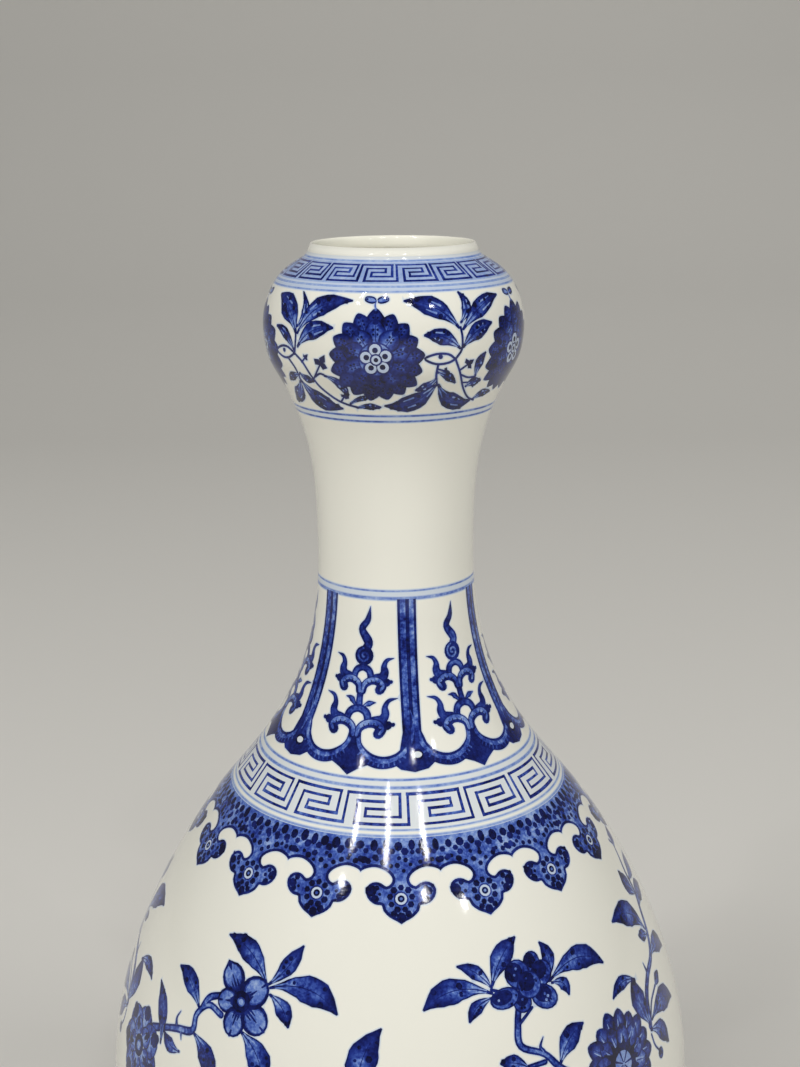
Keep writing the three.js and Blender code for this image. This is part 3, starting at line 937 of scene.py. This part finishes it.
# From the middle of the cluster of small fruit.
BERRY_STEMS = [
    ([(14, -27), (6, -21.5), (1.6, -16.6), (-4.2, -13.4), (-4, -8.4), (-2.4, -3)], [2.4, 2, 1.6, 1.9, 1.6]),
    ([(1.4, -16), (0.8, -14.6), (2, -12.6)], [1.3, 0.7, 0.25]),
    ([(-3.6, -8.4), (0.6, -5.4)], [0.9, 0.7]),
    ([(1.4, -18.4), (-4.4, -18.6), (-9, -19.4)], [1.4, 1]),
]
BERRY_LEAVES = [
    (-8.4, 1.4, 0.4, 11.4, 5, 0.08, 0), (-8.5, 0.9, -15.2, 7.7, 3.2, -0.08, 0.1),
    (-8.6, -0.3, -25.8, -3, 5.6, -0.19, -0.04), (-8.8, -1.2, -15.7, -6, 2.8, -0.14, 0),
    (7, -0.2, 7.4, 8.6, 3.4, -0.1, 0.12), (6.9, -0.8, 25.6, -1.8, 5.6, 0.17, -0.04),
    (7.2, -1.4, 11.7, -5.6, 2.8, 0.26, 0), (5.4, -20.2, 13.9, -12.4, 5.4, 0.1, -0.06),
    (-3, -18.8, -10.4, -17, 3.6, -0.14, -0.1), (-8, -19.4, -21, -23.8, 5, -0.12, 0),
]
# The small fruit as (centre, radius, length, turn, ripe side).
BERRIES = [
    ((3, 4.8), 2.3, 1.1, 70, 90), ((5, 1.6), 3, 1.1, 40, 0), ((-1.4, 2.9), 3.4, 1, 0, 130),
    ((-1.6, -3.7), 2.5, 1, 0, -90),
    ((-5.8, -1.9), 2.5, 1.6, 8, 180), ((4.6, -3.8), 2.9, 1.35, -28, 0), ((1.1, -0.2), 3.3, 1, 0, 20),
]
# From the fork above the root of the tall sprig, which leans over beside a flower.
SPRIG_STEMS = [
    ([(-7.3, -10.6), (-5, -4), (-0.7, 0.1), (5.5, 2.7), (9.3, 7), (11.6, 12.3), (14, 17.2), (14.2, 22.2), (16.4, 27),
      (17.4, 29.4)], [1.9, 2, 1.8, 1.6, 1.4, 1.2, 0.8]),
    ([(-0.4, 0.6), (-0.9, 3.6)], [1.2, 0.3]),
    ([(-7.3, -10.8), (-3.4, -6), (1.6, -3.8)], [0.7, 0.7]),
    ([(-7.9, -12.6), (-7.4, -15.6), (-5.6, -18)], [0.7, 0.6]),
]
SPRIG_LEAVES = [
    (-7.6, 2.2, -19, 3, 3.2, -0.13, 0.1), (-7, -10.4, -9, 3.4, 6.4, 0.08, 0), (1.4, -4, 6.4, -2, 2.8, 0, 0),
    (-5.8, -9.7, 12, -12, 6.2, 0.14, 0), (-7.8, -11.5, 1.4, -19.2, 5, 0.15, 0),
    (8.9, 8.2, -6.6, 18.6, 6.6, -0.15, 0.06),
    (5.2, 2.4, 19.6, -1.6, 5.2, 0.16, 0), (8.8, 7, 2.6, 9.4, 3, 0, 0), (14, 16, 9, 25, 4.8, 0.1, 0),
    (11.8, 13, 23, 15, 5, 0.12, 0), (14.3, 20, 24, 24, 4.6, -0.1, 0), (17, 28, 21.4, 32.6, 3.6, 0, 0),
]
SPRIG_BUD = (17.2, 29)
# From the middle of the staggered lower spray, whose long leaf reaches up between the sprays above.
SPRAY_STEMS = [
    ([(-2, 31), (-0.6, 24), (1.8, 16), (0.4, 8), (-4, 1), (-12, -4), (-22, -6)], [0.9, 1.6, 2.2, 2.2, 1.8]),
    ([(0.8, 10), (6, 4), (12, 0.6), (18, -4), (24, -6)], [1.8, 1.6, 1.4]),
    ([(1.4, 14), (5.6, 17.6)], [1.2, 0.3]),
]
SPRAY_LEAVES = [
    (-2.4, 29, 2, 47.5, 7, 0.1, -0.04), (-1.2, 26, -15, 33, 5.4, -0.12, 0.1), (0, 22, 14.4, 28.5, 6, 0.12, -0.1),
    (1.2, 17, -13, 20, 5.2, -0.12, 0.08), (1.6, 14, 17, 16, 5.4, 0.12, -0.08), (-5, 0.6, -17, 9, 5.2, -0.12, 0),
    (-14, -4.4, -26, 4, 5, -0.12, 0), (-22, -6, -35, -1, 4.8, -0.1, 0.1), (-20, -6, -32, -15, 5, 0.12, 0),
    (8, 3.4, 23, 8.6, 5.2, -0.1, 0), (-7, -1.6, -4, -15, 5.2, 0.1, 0), (22, -5.6, 34, 3, 5, -0.1, 0),
    (23, -6.4, 37, -10, 5, 0.12, 0), (3, 6.4, 2, -6.4, 4.4, 0.1, 0),
]


def branch(spot, stems, leaves, dabs=4):
    """A branch of inked and washed stems, with its leaves."""
    spot.strands(stems, 0.64, 0.5)
    leaves_on(spot, leaves, dabs)


def berry_branch(spot):
    """The branch of small round fruit."""
    branch(spot, BERRY_STEMS, BERRY_LEAVES)
    spot.stroke([(-8.8, 0.6), (-5, -0.6), (0, 0), (4, -0.4), (7.2, -0.8)], [0.8, 0.8, 0.7], DARK)
    for centre, radius, long, turn, ripe in BERRIES:
        fruit(spot, centre, radius, long, turn, ripe)


def tall_sprig(spot):
    """A slender leafy sprig with a hanging fruit and a bud at its top."""
    branch(spot, SPRIG_STEMS, SPRIG_LEAVES, 6)
    fruit(spot, (-5, -18.9), 1.5)
    for angle in (30, 80, 130):
        spot.stroke([SPRIG_BUD, np.array(SPRIG_BUD) + polar(angle, 2.4)], [0.5, 0.9], DARK, steps=2)


# How far round, in degrees, the three groups of sprays on the body are, and the three lower sprays.
SPRAY_TURNS = (0, 113, 236)
LOWER_TURNS = (-6, 114, 234)


def paint_body():
    """Sprays of flowers and fruit right round, and the peaches among leaves under them."""
    for n, turn in enumerate(SPRAY_TURNS):
        if n == 1:
            berry_branch(Spot(27.5, way_to(110.3)))
            tall_sprig(Spot(65, way_to(98)))
            full_flower(Spot(47.6, way_to(85)))
        else:
            spot = Spot(-34.6 + turn, way_to(105.4))
            branch(spot, BLOSSOM_STEMS, BLOSSOM_LEAVES)
            blossom(spot)
            tall_sprig(Spot(-80 + turn, way_to(96.5), flip=-1))
            open_flower(Spot(-62.4 + turn, way_to(82.5)))
    for angle in LOWER_TURNS:
        peach(Spot(angle + 12, way_to(52), turn=168))
        peach(Spot(angle - 15, way_to(50), turn=190))
        branch(Spot(angle, way_to(59)), SPRAY_STEMS, SPRAY_LEAVES)


# --- Lappets and foot ---

LAPPETS = 24
LAPPET_EDGE = both_sides([(6.5, 0.2), (6.9, 7), (7, 14), (5.6, 20), (2.4, 24), (0, 26.6)])
# The lappet's nested shapes as (width, height, cobalt), in shares of its edge.
LAPPET_LAYERS = ((1, 1, DARK), (0.93, 0.98, 0.5), (0.8, 0.93, DARK), (0.74, 0.91, BARE))
FOOT_SCROLLS = 30


def paint_lappets():
    """Upright lappets above the foot, and the lines that close them in."""
    soft_line(32.6, 33, 0.42)
    soft_line(31.2, 31.6, 0.42)
    line_round(7.6, 8.4, 0.56)
    outer = smooth(LAPPET_EDGE, 3)
    for n in range(LAPPETS):
        spot = Spot(n * 360 / LAPPETS, way_to(8.8))
        for size, rise, cobalt in LAPPET_LAYERS:
            spot.fill(outer * [size, rise], cobalt)
        leaf(spot, (0, 1.5), (0, 20.5), 6.4, dabs=8)
        for side in (1, -1):
            curl = [(side * 0.4, 1.4), (side * 2.6, 3.4), (side * 4, 2.6), (side * 3.2, 1.6)]
            spot.strands([(curl, [0.9, 1.1, 0.8])])


def paint_foot():
    """A running scroll round the outside of the foot, between two lines."""
    line_round(5.9, 6.4, 0.5)
    line_round(2, 2.4, 0.5)
    for n in range(FOOT_SCROLLS):
        spot = Spot(n * 360 / FOOT_SCROLLS, way_to(4.15), flip=1 if n % 2 else -1)
        curl = [(-5.1, 0), (-3.4, 1), (-0.6, 0.9), (0.9, 0.1), (0.2, -0.9), (-1.2, -0.6), (-0.8, 0.1)]
        spot.stroke(curl, [0.34, 0.5, 0.6, 0.5], DARK, steps=3)
        spot.stroke([(0.9, 0.2), (2.6, -1), (5.1, 0)], [0.3, 0.7, 0.34], DARK, steps=3)


# --- From paint to a skin ---

# The materials' places in a shell: clear glaze, washed and heaped cobalt, the inside and the bare foot edge.
CLEAR, WASHED, HEAPED, INSIDE, BISCUIT = range(5)
# A triangle with less cobalt than this is bare, has no inked edge, or is only washed.
BARE_BELOW, INKED_FROM, WASHED_BELOW = 0.02, 0.3, 0.58
# How far apart, in mm, the rows of the skin, the marks along an inked edge and the hem's points are. The hem's
# points are thinned out on a grid, and keep clear of a section's rims and of the seam at the back.
ROW_STEP, MARK_STEP, HEM_STEP, HEM_GRID = 2.4, 0.25, 0.9, 0.35
RIM_CLEAR, BACK_CLEAR, HEM_CLEAR = 0.2, 3.13, 0.86 * HEM


def simple_shapes(shape, cobalt, across):
    """The shape with its corners anticlockwise, cut in two where it is a folded quad and left out where it is
    nothing."""
    x, y = (shape[:, 0] * across).tolist(), shape[:, 1].tolist()
    n = len(x)
    if n == 4:
        bends = []
        for i in range(4):
            j, k = (i + 1) % 4, (i + 2) % 4
            bends.append((x[j] - x[i]) * (y[k] - y[j]) - (y[j] - y[i]) * (x[k] - x[j]))
        if min(bends) * max(bends) <= 0:
            halves = [[0, 1, 2], [0, 2, 3]]
            return [part for half in halves for part in simple_shapes(shape[half], cobalt[half], across)]
    area = sum(x[i] * y[(i + 1) % n] - x[(i + 1) % n] * y[i] for i in range(n))
    if abs(area) < 0.002:
        return []
    return [(shape, cobalt)] if area > 0 else [(shape[::-1], cobalt[::-1])]


def thickness_fits(shapes, thickness):
    """For each shape, the plane through its corners' cobalt, so that the cobalt can be read at any point of it."""
    fits = np.zeros((len(shapes), 3))
    counts = np.array([len(shape) for shape in shapes])
    for count in np.unique(counts):
        rows = np.nonzero(counts == count)[0]
        places = np.array([shapes[i] for i in rows])
        middles = places.mean(axis=1, keepdims=True)
        known = np.concatenate([places - middles, np.ones((len(rows), count, 1))], axis=2)
        wanted = np.array([thickness[i] for i in rows])[..., None]
        fit = (np.linalg.pinv(known) @ wanted)[..., 0]
        fit[:, 2] -= (fit[:, :2] * middles[:, 0]).sum(axis=1)
        fits[rows] = fit
    return fits


def laid_on(low, high, across):
    """The brushwork's shapes that touch a section, with copies where they run over the seam at the back."""
    shapes, thickness = [], []
    for shape, cobalt in zip(shapes_laid, cobalt_laid):
        if shape[:, 1].max() < low - 1e-6 or shape[:, 1].min() > high + 1e-6:
            continue
        shape = shape - [round(shape[:, 0].mean() / TURN) * TURN, 0]
        copies = [shape]
        if shape[:, 0].max() > math.pi:
            copies.append(shape - [TURN, 0])
        if shape[:, 0].min() < -math.pi:
            copies.append(shape + [TURN, 0])
        for copy in copies:
            for part, corners in simple_shapes(copy, cobalt, across):
                shapes.append(part)
                thickness.append(corners)
    return shapes, thickness


def on_solid(places):
    """Places on the outside as points in millimetres, to measure distances between."""
    reach = radius_at(places[:, 1])
    return np.stack([np.sin(places[:, 0]) * reach, np.cos(places[:, 0]) * reach, places[:, 1]], axis=1)


def paint_edges(places, triangles, bare):
    """Where cobalt meets bare glaze: points along those edges, and points a hem's width out on the bare side."""
    sides = np.concatenate([triangles[:, [0, 1]], triangles[:, [1, 2]], triangles[:, [2, 0]]])
    owner = np.tile(np.arange(len(triangles)), 3)
    key = np.sort(sides, axis=1)
    order = np.lexsort((key[:, 1], key[:, 0]))
    same = (key[order[:-1]] == key[order[1:]]).all(axis=1)
    first, second = order[:-1][same], order[1:][same]
    inked = np.where(bare[owner[second]], first, second)[bare[owner[first]] != bare[owner[second]]]
    a, b = places[sides[inked, 0]], places[sides[inked, 1]]
    reach = radius_at((a[:, 1] + b[:, 1]) / 2)[:, None]
    along_edge = (b - a) * np.concatenate([reach, np.ones_like(reach)], axis=1)
    length = np.linalg.norm(along_edge, axis=1)
    # An inked triangle runs anticlockwise, so the bare side is on the right of each of its edges.
    out = np.stack([along_edge[:, 1], -along_edge[:, 0]], axis=1) / np.maximum(length, 1e-9)[:, None]
    marks, hems = [a], []
    for i, (size, normal) in enumerate(zip(length, out)):
        step = normal * HEM / [reach[i, 0], 1]
        on_edge, on_hem = int(size / MARK_STEP) + 1, max(1, round(size / HEM_STEP))
        for count, found, shift in ((on_edge, marks, 0), (on_hem, hems, step)):
            t = ((np.arange(count) + 0.5) / count)[:, None]
            found.append(a[i] + (b[i] - a[i]) * t + shift)
    corner = np.zeros((len(places), 2))
    for end in (0, 1):
        np.add.at(corner, sides[inked, end], out)
    at = np.unique(sides[inked])
    size = np.linalg.norm(corner[at], axis=1)
    at, size = at[size > 0.3], size[size > 0.3]
    step = corner[at] / size[:, None] * HEM
    step[:, 0] /= radius_at(places[at, 1])
    hems.append(places[at] + step)
    return np.concatenate(marks), np.concatenate(hems)


def topmost(owners, middles, shapes):
    """For each triangle, the last shape laid over it, or -1. A shape is only believed within its own reach."""
    reach = [(*shape.min(axis=0), *shape.max(axis=0)) for shape in shapes]
    top = np.full(len(owners), -1)
    for i, (owner, (x, y)) in enumerate(zip(owners, middles.tolist())):
        for shape in sorted(owner, reverse=True):
            left, bottom, right, upper = reach[shape]
            if left < x < right and bottom < y < upper:
                top[i] = shape
                break
    return top


def skin_arrays(low, high):
    """The painted outside between two ways up: the corners of flat triangles on the unrolled surface, the triangles,
    each of their corners' cobalt and each one's material. Points out on the bleed are added for a second round."""
    # Angles are laid out flat in about millimetres for the triangulation.
    across = float(radius_at((low + high) / 2)) + 8
    rows = max(2, int((high - low) / ROW_STEP) + 1)
    angles = np.linspace(-math.pi, math.pi, COLUMNS + 1)
    ways = np.linspace(low, high, rows)
    points = [(a * across, w) for w in ways for a in angles]
    wide = COLUMNS + 1
    edges = []
    for c in range(COLUMNS):
        edges += [(c, c + 1), ((rows - 1) * wide + c, (rows - 1) * wide + c + 1)]
    for r in range(rows - 1):
        edges += [(r * wide, (r + 1) * wide), (r * wide + COLUMNS, (r + 1) * wide + COLUMNS)]
    shapes, thickness = laid_on(low, high, across)
    faces = []
    for shape in shapes:
        faces.append(list(range(len(points), len(points) + len(shape))))
        points += [(a * across, w) for a, w in shape.tolist()]
    fits = thickness_fits(shapes, thickness) if shapes else np.zeros((0, 3))
    tree = None
    for stage in ("inked", "hemmed"):
        made, _, triangles, _, _, owners = delaunay_2d_cdt([Vector(p) for p in points], edges, faces, 0, 1e-4, True)
        places = np.array([(p.x / across, p.y) for p in made])
        triangles = np.array(triangles)
        middles = places[triangles].mean(axis=1)
        top = topmost(owners, middles, shapes)
        inside = (np.abs(middles[:, 0]) < math.pi) & (middles[:, 1] > low) & (middles[:, 1] < high)
        triangles, top = triangles[inside], top[inside]
        corners = places[triangles]
        cobalt = np.zeros((len(triangles), 3))
        painted = top >= 0
        if painted.any():
            fit = fits[top[painted]]
            cobalt[painted] = (corners[painted] * fit[:, None, :2]).sum(axis=2) + fit[:, None, 2]
        means = cobalt.mean(axis=1)
        bare = ~painted | (means < BARE_BELOW)
        if stage == "hemmed" or not painted.any():
            break
        marks, hems = paint_edges(places, triangles, bare | (means < INKED_FROM))
        tree = KDTree(len(marks))
        for i, mark in enumerate(on_solid(marks)):
            tree.insert(mark, i)
        tree.balance()
        _, kept = np.unique(np.round(on_solid(hems) / HEM_GRID), axis=0, return_index=True)
        hems = hems[kept]
        within = (hems[:, 1] > low + RIM_CLEAR) & (hems[:, 1] < high - RIM_CLEAR)
        hems = hems[within & (np.abs(hems[:, 0]) < BACK_CLEAR)]
        for hem, place in zip(hems, on_solid(hems)):
            if tree.find(place)[2] > HEM_CLEAR:
                points.append((hem[0] * across, hem[1]))
    # Bare glaze takes a soft blue bleed that fades out over the hem.
    if tree:
        bleed = np.zeros(len(places))
        used = np.unique(triangles[bare])
        for i, place in zip(used, on_solid(places[used])):
            bleed[i] = BLEED * max(0.0, 1 - tree.find(place)[2] / HEM)
        cobalt[bare] = bleed[triangles[bare]]
    slots = np.where(bare, CLEAR, np.where(means < WASHED_BELOW, WASHED, HEAPED))
    return places, triangles, cobalt.clip(0, 1), slots


# --- Shells ---


def solid_places(places):
    radius, height = radius_at(places[:, 1]), height_at(places[:, 1])
    return np.stack([np.sin(places[:, 0]) * radius, -np.cos(places[:, 0]) * radius, height], axis=1) * MM


def outward(places):
    along_r, along_z = lean_at(places[:, 1])
    return np.stack([np.sin(places[:, 0]) * along_z, -np.cos(places[:, 0]) * along_z, -along_r], axis=1)


def add_spun(bm, profile):
    """Adds a profile of (radius, height) points in mm, spun round the axis in step with the skin's columns."""
    spun = bmesh.new()
    verts = [spun.verts.new((0, r * MM, z * MM)) for r, z in profile]
    edges = [spun.edges.new(pair) for pair in zip(verts[:-1], verts[1:])]
    bmesh.ops.spin(
        spun, geom=verts + edges, cent=(0, 0, 0), axis=(0, 0, 1), angle=TURN, steps=COLUMNS, use_merge=True,
        use_duplicate=False,
    )
    bmesh.ops.remove_doubles(spun, verts=spun.verts, dist=0.001 * MM)
    made = bpy.data.meshes.new("spun_profile")
    spun.to_mesh(made)
    spun.free()
    bm.from_mesh(made)
    bpy.data.meshes.remove(made)


def rim_near(bm, radius, height):
    """The open edges that lie round the axis at a radius and a height."""

    def near(v):
        return abs(v.co.z / MM - height) < RIM_REACH and abs(v.co.xy.length / MM - radius) < RIM_REACH

    return [e for e in bm.edges if e.is_boundary and all(near(v) for v in e.verts)]


def finished_mesh(bm, name):
    """The bmesh as a mesh, with its faces turned outwards."""
    bmesh.ops.recalc_face_normals(bm, faces=bm.faces)
    mesh = bpy.data.meshes.new(name)
    bm.to_mesh(mesh)
    bm.free()
    return mesh


def finish_piece(name, mesh, materials, node):
    piece = bpy.data.objects.new(name, mesh)
    bpy.context.collection.objects.link(piece)
    for material in materials:
        mesh.materials.append(material)
    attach(piece, "root")
    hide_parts(node)


def painted_shell(name, low, high, chains, slot, node):
    """A thrown section. Its painted skin lies between two ways up, and profiles spun round the axis close it.
    Each chain of (radius, height) points is joined to the skin's lower rim, its upper rim or both."""
    places, triangles, cobalt, slots = skin_arrays(low, high)
    mesh = bpy.data.meshes.new(name)
    mesh.from_pydata(solid_places(places).tolist(), [], triangles.tolist())
    mesh.attributes.new("cobalt", "FLOAT", "CORNER").data.foreach_set("value", cobalt.ravel())
    mesh.attributes.new("outside", "FLOAT_VECTOR", "CORNER").data.foreach_set(
        "vector", outward(places)[triangles.ravel()].ravel()
    )
    flat = np.stack([places[:, 0] / TURN + 0.5, (places[:, 1] - low) / (high - low)], axis=1)
    mesh.uv_layers.new(name="OFBake").data.foreach_set("uv", flat[triangles.ravel()].ravel())
    mesh.polygons.foreach_set("material_index", slots)
    bm = bmesh.new()
    bm.from_mesh(mesh)
    bmesh.ops.delete(bm, geom=[v for v in bm.verts if not v.link_faces], context="VERTS")
    bmesh.ops.remove_doubles(bm, verts=[v for v in bm.verts if v.is_boundary], dist=0.002 * MM)
    skin = set(bm.faces)
    rims = [rim_near(bm, float(radius_at(w)), float(height_at(w))) for w in (low, high)]
    for chain, joins_low, joins_high in chains:
        add_spun(bm, chain)
        for joins, rim, (radius, height) in ((joins_low, rims[0], chain[0]), (joins_high, rims[1], chain[-1])):
            if joins:
                bmesh.ops.bridge_loops(bm, edges=rim + rim_near(bm, radius, height))
    inside = [f for f in bm.faces if f not in skin]
    bmesh.ops.recalc_face_normals(bm, faces=bm.faces)
    for face in inside:
        bare = slot == "bare_biscuit" and face.calc_center_median().z < BARE_EDGE * MM
        face.material_index = BISCUIT if bare else INSIDE
    bm.to_mesh(mesh)
    bm.free()
    mesh.shade_smooth()
    # The skin's corners take the smooth outline's own direction, so the flat triangles don't show.
    normals = np.zeros(len(mesh.loops) * 3, np.float32)
    mesh.attributes["outside"].data.foreach_get("vector", normals)
    mesh.attributes.remove(mesh.attributes["outside"])
    mesh.normals_split_custom_set(normals.reshape(-1, 3).tolist())
    finish_piece(name, mesh, SKIN, node)


def wall_at(height):
    return float(np.interp(height, inside_wall[:, 1], inside_wall[:, 0]))


def inside_between(low, high):
    """The inside wall between two heights, as (radius, height) points."""
    between = [tuple(p) for p in inside_wall if low + 0.5 < p[1] < high - 0.5]
    return [(wall_at(low), low)] + between + [(wall_at(high), high)]


# Half of the bead's outline above its seam, as (radius from the inside wall, height from the seam).
BEAD_CURVE = [(0.5, 1.9), (-0.3, 1.4), (-0.75, 0.5)]


def slip_ring(joint, height):
    """The luting slip that joins two sections, squeezed out inside as a low rounded bead."""
    inner, outer = wall_at(height), float(radius_at(way_to(height))) - 0.3
    bead = [(inner + r, height - z) for r, z in BEAD_CURVE] + [(inner + r, height + z) for r, z in BEAD_CURVE[::-1]]
    bead += [(outer, height + 0.12), (outer, height - 0.12)]
    bm = bmesh.new()
    add_spun(bm, bead + bead[:1])
    mesh = finished_mesh(bm, "slip_bead_" + joint)
    mesh.shade_smooth()
    finish_piece("slip_bead_" + joint, mesh, [LUTING], "luting_slip_" + joint)


def foot_slip():
    """The foot's slip: a thin flat ring between the foot and the floor."""
    inner, outer, half = 44, 48.9, 0.1
    corners = [(inner, -half), (outer, -half), (outer, half), (inner, half), (inner, -half)]
    bm = bmesh.new()
    add_spun(bm, [(r, FOOT_TOP + z) for r, z in corners])
    mesh = finished_mesh(bm, "slip_under_floor")
    finish_piece("slip_under_floor", mesh, [LUTING], "luting_slip_foot")


# --- Making the vase ---

# The gap that each section keeps from its seam for the slip, the inside floor's height, where the lip starts and
# up to where the solids give the inside wall.
GAP = 0.15
FLOOR_INSIDE = 13
LIP_START = 275.4
INSIDE_TOP = 278
# The foot's bearing edge is bare of glaze up to this height.
BARE_EDGE = 1.3
# How near, in mm, a rim's points lie to its radius and height, and how far the inside's points keep from a seam.
RIM_REACH, BEAD_REACH = 0.02, 1.4
# The foot from its outer round over the bearing edge and up its inside, and the inside of the lip.
FOOT_CURVE = [(48.4, 0.75), (47.85, 0.2), (47.1, 0), (44.9, 0), (44.15, 0.2), (43.6, 0.75), (43.4, 1.5), (43.4, 4),
              (43.4, FOOT_TOP - GAP)]
LIP_CURVE = [(19.5, 276.4), (19.2, 277.2), (19.22, 278), (19.35, 278.8), (19.55, 279.4), (19.8, 279.89)]

inside_points = {
    p for node in SECTIONS for p in clear_of_seams(wall_points(node, -1), BEAD_REACH) if p[1] < INSIDE_TOP
}
inside_wall = natural_spline(sorted(inside_points, key=lambda p: p[1]), 2.5)

SKIN = [
    painted_glaze("clear_glaze_on_porcelain", 0.05),
    painted_glaze("pale_cobalt_wash_under_glaze", 0.1),
    painted_glaze("piled_cobalt_under_glaze", 0.3),
    plain_glaze("clear_glaze_inside"),
    bare_biscuit("bare_biscuit"),
]
LUTING = plain_glaze("glazed_luting_slip")

paint_foot()
paint_lappets()
paint_body()
paint_cloud_collar()
paint_shoulder()
paint_neck()
paint_bulb()

levels = [FOOT_TOP, GIRTH_SEAM, SHOULDER_SEAM, BULB_SEAT_SEAM, BULB_SEAM, LIP_TOP]
ways = [0] + [way_to(z) for z in levels]
underside = [(r, FOOT_TOP + GAP) for r in (46, 43, 20, 0)]
bowl = [(0, FLOOR_INSIDE), (20, FLOOR_INSIDE)] + inside_between(FLOOR_INSIDE, GIRTH_SEAM - GAP)
chains = [[(FOOT_CURVE, True, True)], [(underside, True, False), (bowl, False, True)]]
for low, high in zip(levels[1:4], levels[2:5]):
    chains.append([(inside_between(low + GAP, high - GAP), True, True)])
chains.append([(inside_between(BULB_SEAM + GAP, LIP_START) + LIP_CURVE, True, True)])
painted_shell("foot_ring_turned", *ways[:2], chains[0], "bare_biscuit", "foot_ring")
for node, low, high, chain in zip(SECTIONS, ways[1:], ways[2:], chains[1:]):
    painted_shell(node + "_thrown", low, high, chain, "glazed_porcelain", node)
for joint, height in zip(("girth", "shoulder", "bulb_seat", "bulb"), SEAMS):
    slip_ring(joint, height)
foot_slip()


# --- Floor, light and camera ---

# The backdrop from the front edge of the floor up to its top, as (y, z) in metres, and half its width.
BACKDROP = [(-3, 0), (1.2, 0), (1.7, 0.08), (2.1, 0.35), (2.3, 0.8), (2.35, 3)]
BACKDROP_HALF = 4
# What the lamps are turned to, in metres. The ceiling lamps lie on a sphere of CEILING_REACH round a point
# CEILING_BASE above the middle of the foot.
LAMPS_LOOK_AT = (0, 0, 0.15)
CEILING_REACH, CEILING_BASE = 2.2, 0.2
# Large soft lamps, which the glaze doesn't mirror: place, width and power.
SOFTBOXES = {
    "softbox_left": ((-1.3, -1.2, 1.5), 1.1, 18),
    "softbox_right": ((1.5, -0.9, 1.3), 1.0, 12),
    "softbox_above": ((0, -1.3, 1.8), 1.2, 11),
    "softbox_behind": ((0.6, 1.5, 1.7), 1.3, 5),
}
# Small ceiling lamps, which show in the glaze as the photograph's sparks and upright streaks: azimuth and height in
# degrees, then their width, height and power.
STREAK, SPARK = (0.07, 0.3, 2.2), (0.09, 0.09, 1.4)
CEILING_LAMPS = [(-37, 52, *STREAK), (-9.5, 52, *STREAK), (21.5, 52, *STREAK),
                 (-37, 41, *SPARK), (16, 41, *SPARK), (38, 36, *SPARK)]
WALLS_STRENGTH = 0.18


def studio_floor():
    """A pale seamless floor and backdrop of matt paper."""
    bm = bmesh.new()
    verts = [bm.verts.new((-BACKDROP_HALF, y, z)) for y, z in BACKDROP]
    edges = [bm.edges.new(pair) for pair in zip(verts[:-1], verts[1:])]
    swept = bmesh.ops.extrude_edge_only(bm, edges=edges)["geom"]
    moved = [g for g in swept if isinstance(g, bmesh.types.BMVert)]
    bmesh.ops.translate(bm, verts=moved, vec=(2 * BACKDROP_HALF, 0, 0))
    mesh = finished_mesh(bm, "seamless_backdrop")
    mesh.shade_smooth()
    backdrop = bpy.data.objects.new("seamless_backdrop", mesh)
    bpy.context.collection.objects.link(backdrop)
    paper = new_material("matt_backdrop_paper")
    mesh.materials.append(surfaced(paper, Base_Color=linear(BACKDROP_PAPER), Roughness=PAPER_ROUGHNESS))


def area_lamp(name, place, size, power, seen=True, tall=None):
    """A lamp that faces the vase. The glaze mirrors it if it is seen, and a tall one is an upright oval."""
    data = bpy.data.lights.new(name, "AREA")
    data.shape = "ELLIPSE" if tall else "DISK"
    data.size = size
    if tall:
        data.size_y = tall
    data.energy = power
    lamp = bpy.data.objects.new(name, data)
    lamp.location = place
    lamp.visible_glossy = seen
    lamp.visible_camera = False
    lamp.rotation_mode = "QUATERNION"
    lamp.rotation_quaternion = (Vector(LAMPS_LOOK_AT) - Vector(place)).to_track_quat("-Z", "Y")
    bpy.context.collection.objects.link(lamp)


studio_floor()
for name, (place, size, power) in SOFTBOXES.items():
    area_lamp(name, place, size, power, seen=False)
for azimuth, height, wide, tall, power in CEILING_LAMPS:
    around, above = math.radians(azimuth), math.radians(height)
    place = (
        CEILING_REACH * math.sin(around) * math.cos(above),
        -CEILING_REACH * math.cos(around) * math.cos(above),
        CEILING_BASE + CEILING_REACH * math.sin(above),
    )
    area_lamp("ceiling_lamp_%d_%d" % (azimuth + 90, height), place, wide, power, tall=tall)
world = bpy.data.worlds.new("studio_walls")
world.use_nodes = True
walls = world.node_tree.nodes["Background"].inputs
walls["Color"].default_value = linear(STUDIO_WALLS)
walls["Strength"].default_value = WALLS_STRENGTH
bpy.context.scene.world = world
bpy.context.scene.view_settings.view_transform = "Standard"
add_camera()
